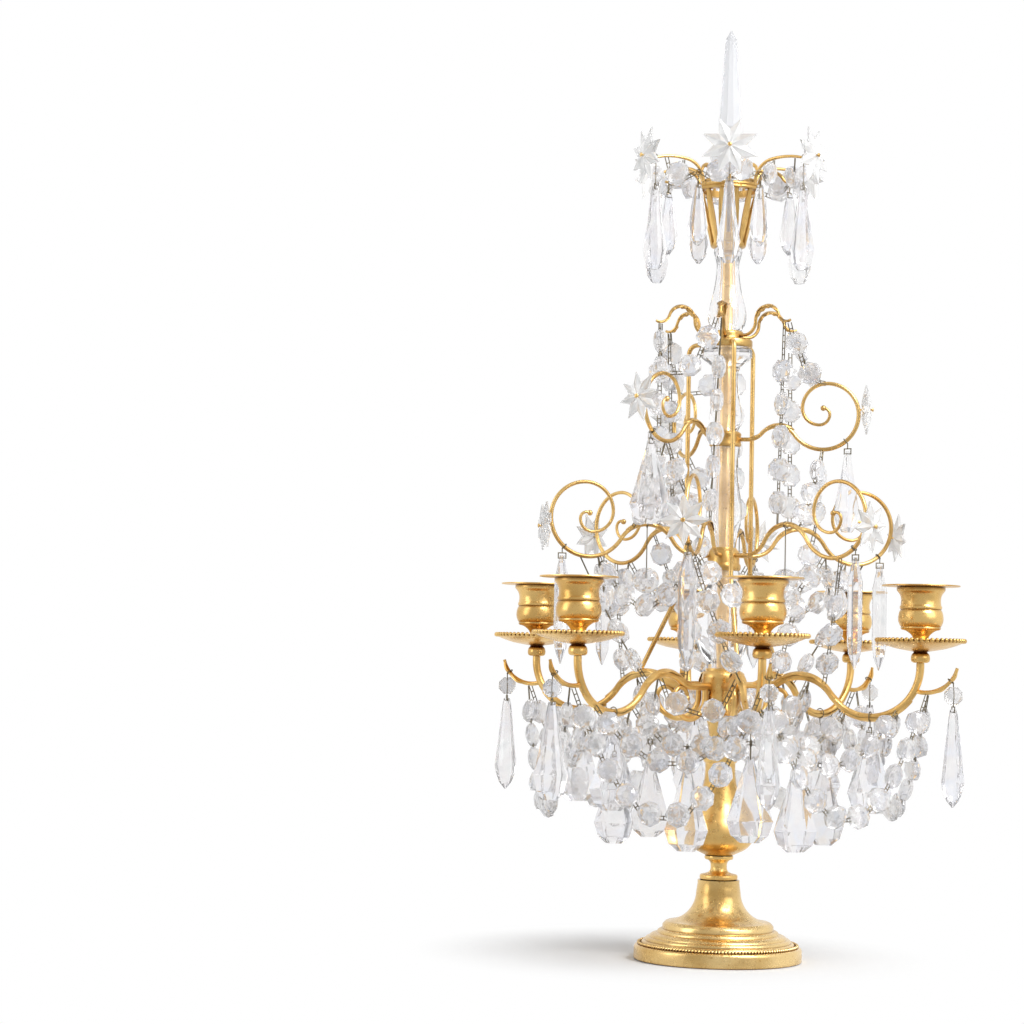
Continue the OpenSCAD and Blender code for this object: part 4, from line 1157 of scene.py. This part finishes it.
def makeFloor(look):
    h, z = look["size"] / 2, look["z"]
    mesh = bpy.data.meshes.new("floorSheet")
    mesh.from_pydata([(-h, -h, z), (h, -h, z), (h, h, z), (-h, h, z)], [], [[0, 1, 2, 3]])
    sheet = putInScene("floorSheet", mesh)
    mat, nt, paper = newFinish("floorPaper")
    paper.inputs["Roughness"].default_value = look["roughness"]
    paper.inputs["Specular IOR Level"].default_value = look["shine"]
    light, dark = look["tone"], look["tone"] - look["grainTone"]
    tone = rampOf(nt, noiseOf(nt, look["grain"]), [(0, [dark] * 3), (1, [light] * 3)])
    nt.links.new(tone, paper.inputs["Base Color"])
    shift = addNode(nt, "VectorMath")  # the shadow falls to the left
    shift.inputs[1].default_value = look["middle"]
    away = addNode(nt, "VectorMath")
    away.operation = "LENGTH"
    nt.links.new(addNode(nt, "TexCoord").outputs["Object"], shift.inputs[0])
    nt.links.new(shift.outputs["Vector"], away.inputs[0])
    # the paper fades to white away from its middle, so the patch shows as a faint painted shadow left of the stand
    fade = spanOf(nt, away.outputs["Value"], look["fade"], (0, 1), "SMOOTHSTEP")
    clear = addNode(nt, "BsdfTransparent").outputs["BSDF"]  # the camera sees white where the floor ends
    white = addNode(nt, "Emission", dict(Color=(*plainWhite, 1))).outputs["Emission"]
    beyond = mixOf(nt, addNode(nt, "LightPath").outputs["Is Camera Ray"], clear, white)
    nt.links.new(mixOf(nt, fade, paper.outputs["BSDF"], beyond), nt.nodes["Material Output"].inputs["Surface"])
    mesh.materials.append(mat)


lamps = {
    "keyRight": dict(spot=(1.5, -1.1, 1.2), aim=(0, 0, 0.3), size=(1.5, 1.5), power=12),
    "fillLeft": dict(spot=(-1.6, -0.7, 0.9), aim=(0, 0, 0.35), size=(0.8, 1.5), power=7),
    "topSoft": dict(spot=(0.85, -0.8, 1.5), aim=(0, 0, 0), size=(0.8, 0.8), power=22),
}


def makeLamps():
    for name, look in lamps.items():
        data = bpy.data.lights.new(name, "AREA")
        data.shape = "RECTANGLE"
        data.size, data.size_y = look["size"]
        data.energy = look["power"]
        lamp = putInScene(name, data)
        lamp.location = look["spot"]
        way = Vector(look["aim"]) - Vector(look["spot"])
        lamp.rotation_euler = way.to_track_quat("-Z", "Y").to_euler()
        lamp.visible_camera = False


makeCamera(cameraLook)
makeRoom(roomLook)
makeFloor(floorLook)
makeLamps()
scene = bpy.context.scene
scene.view_settings.view_transform = "Standard"
scene.cycles.max_bounces = 26
scene.cycles.transmission_bounces = 26
scene.cycles.transparent_max_bounces = 16
print("camera, room and lamps placed")
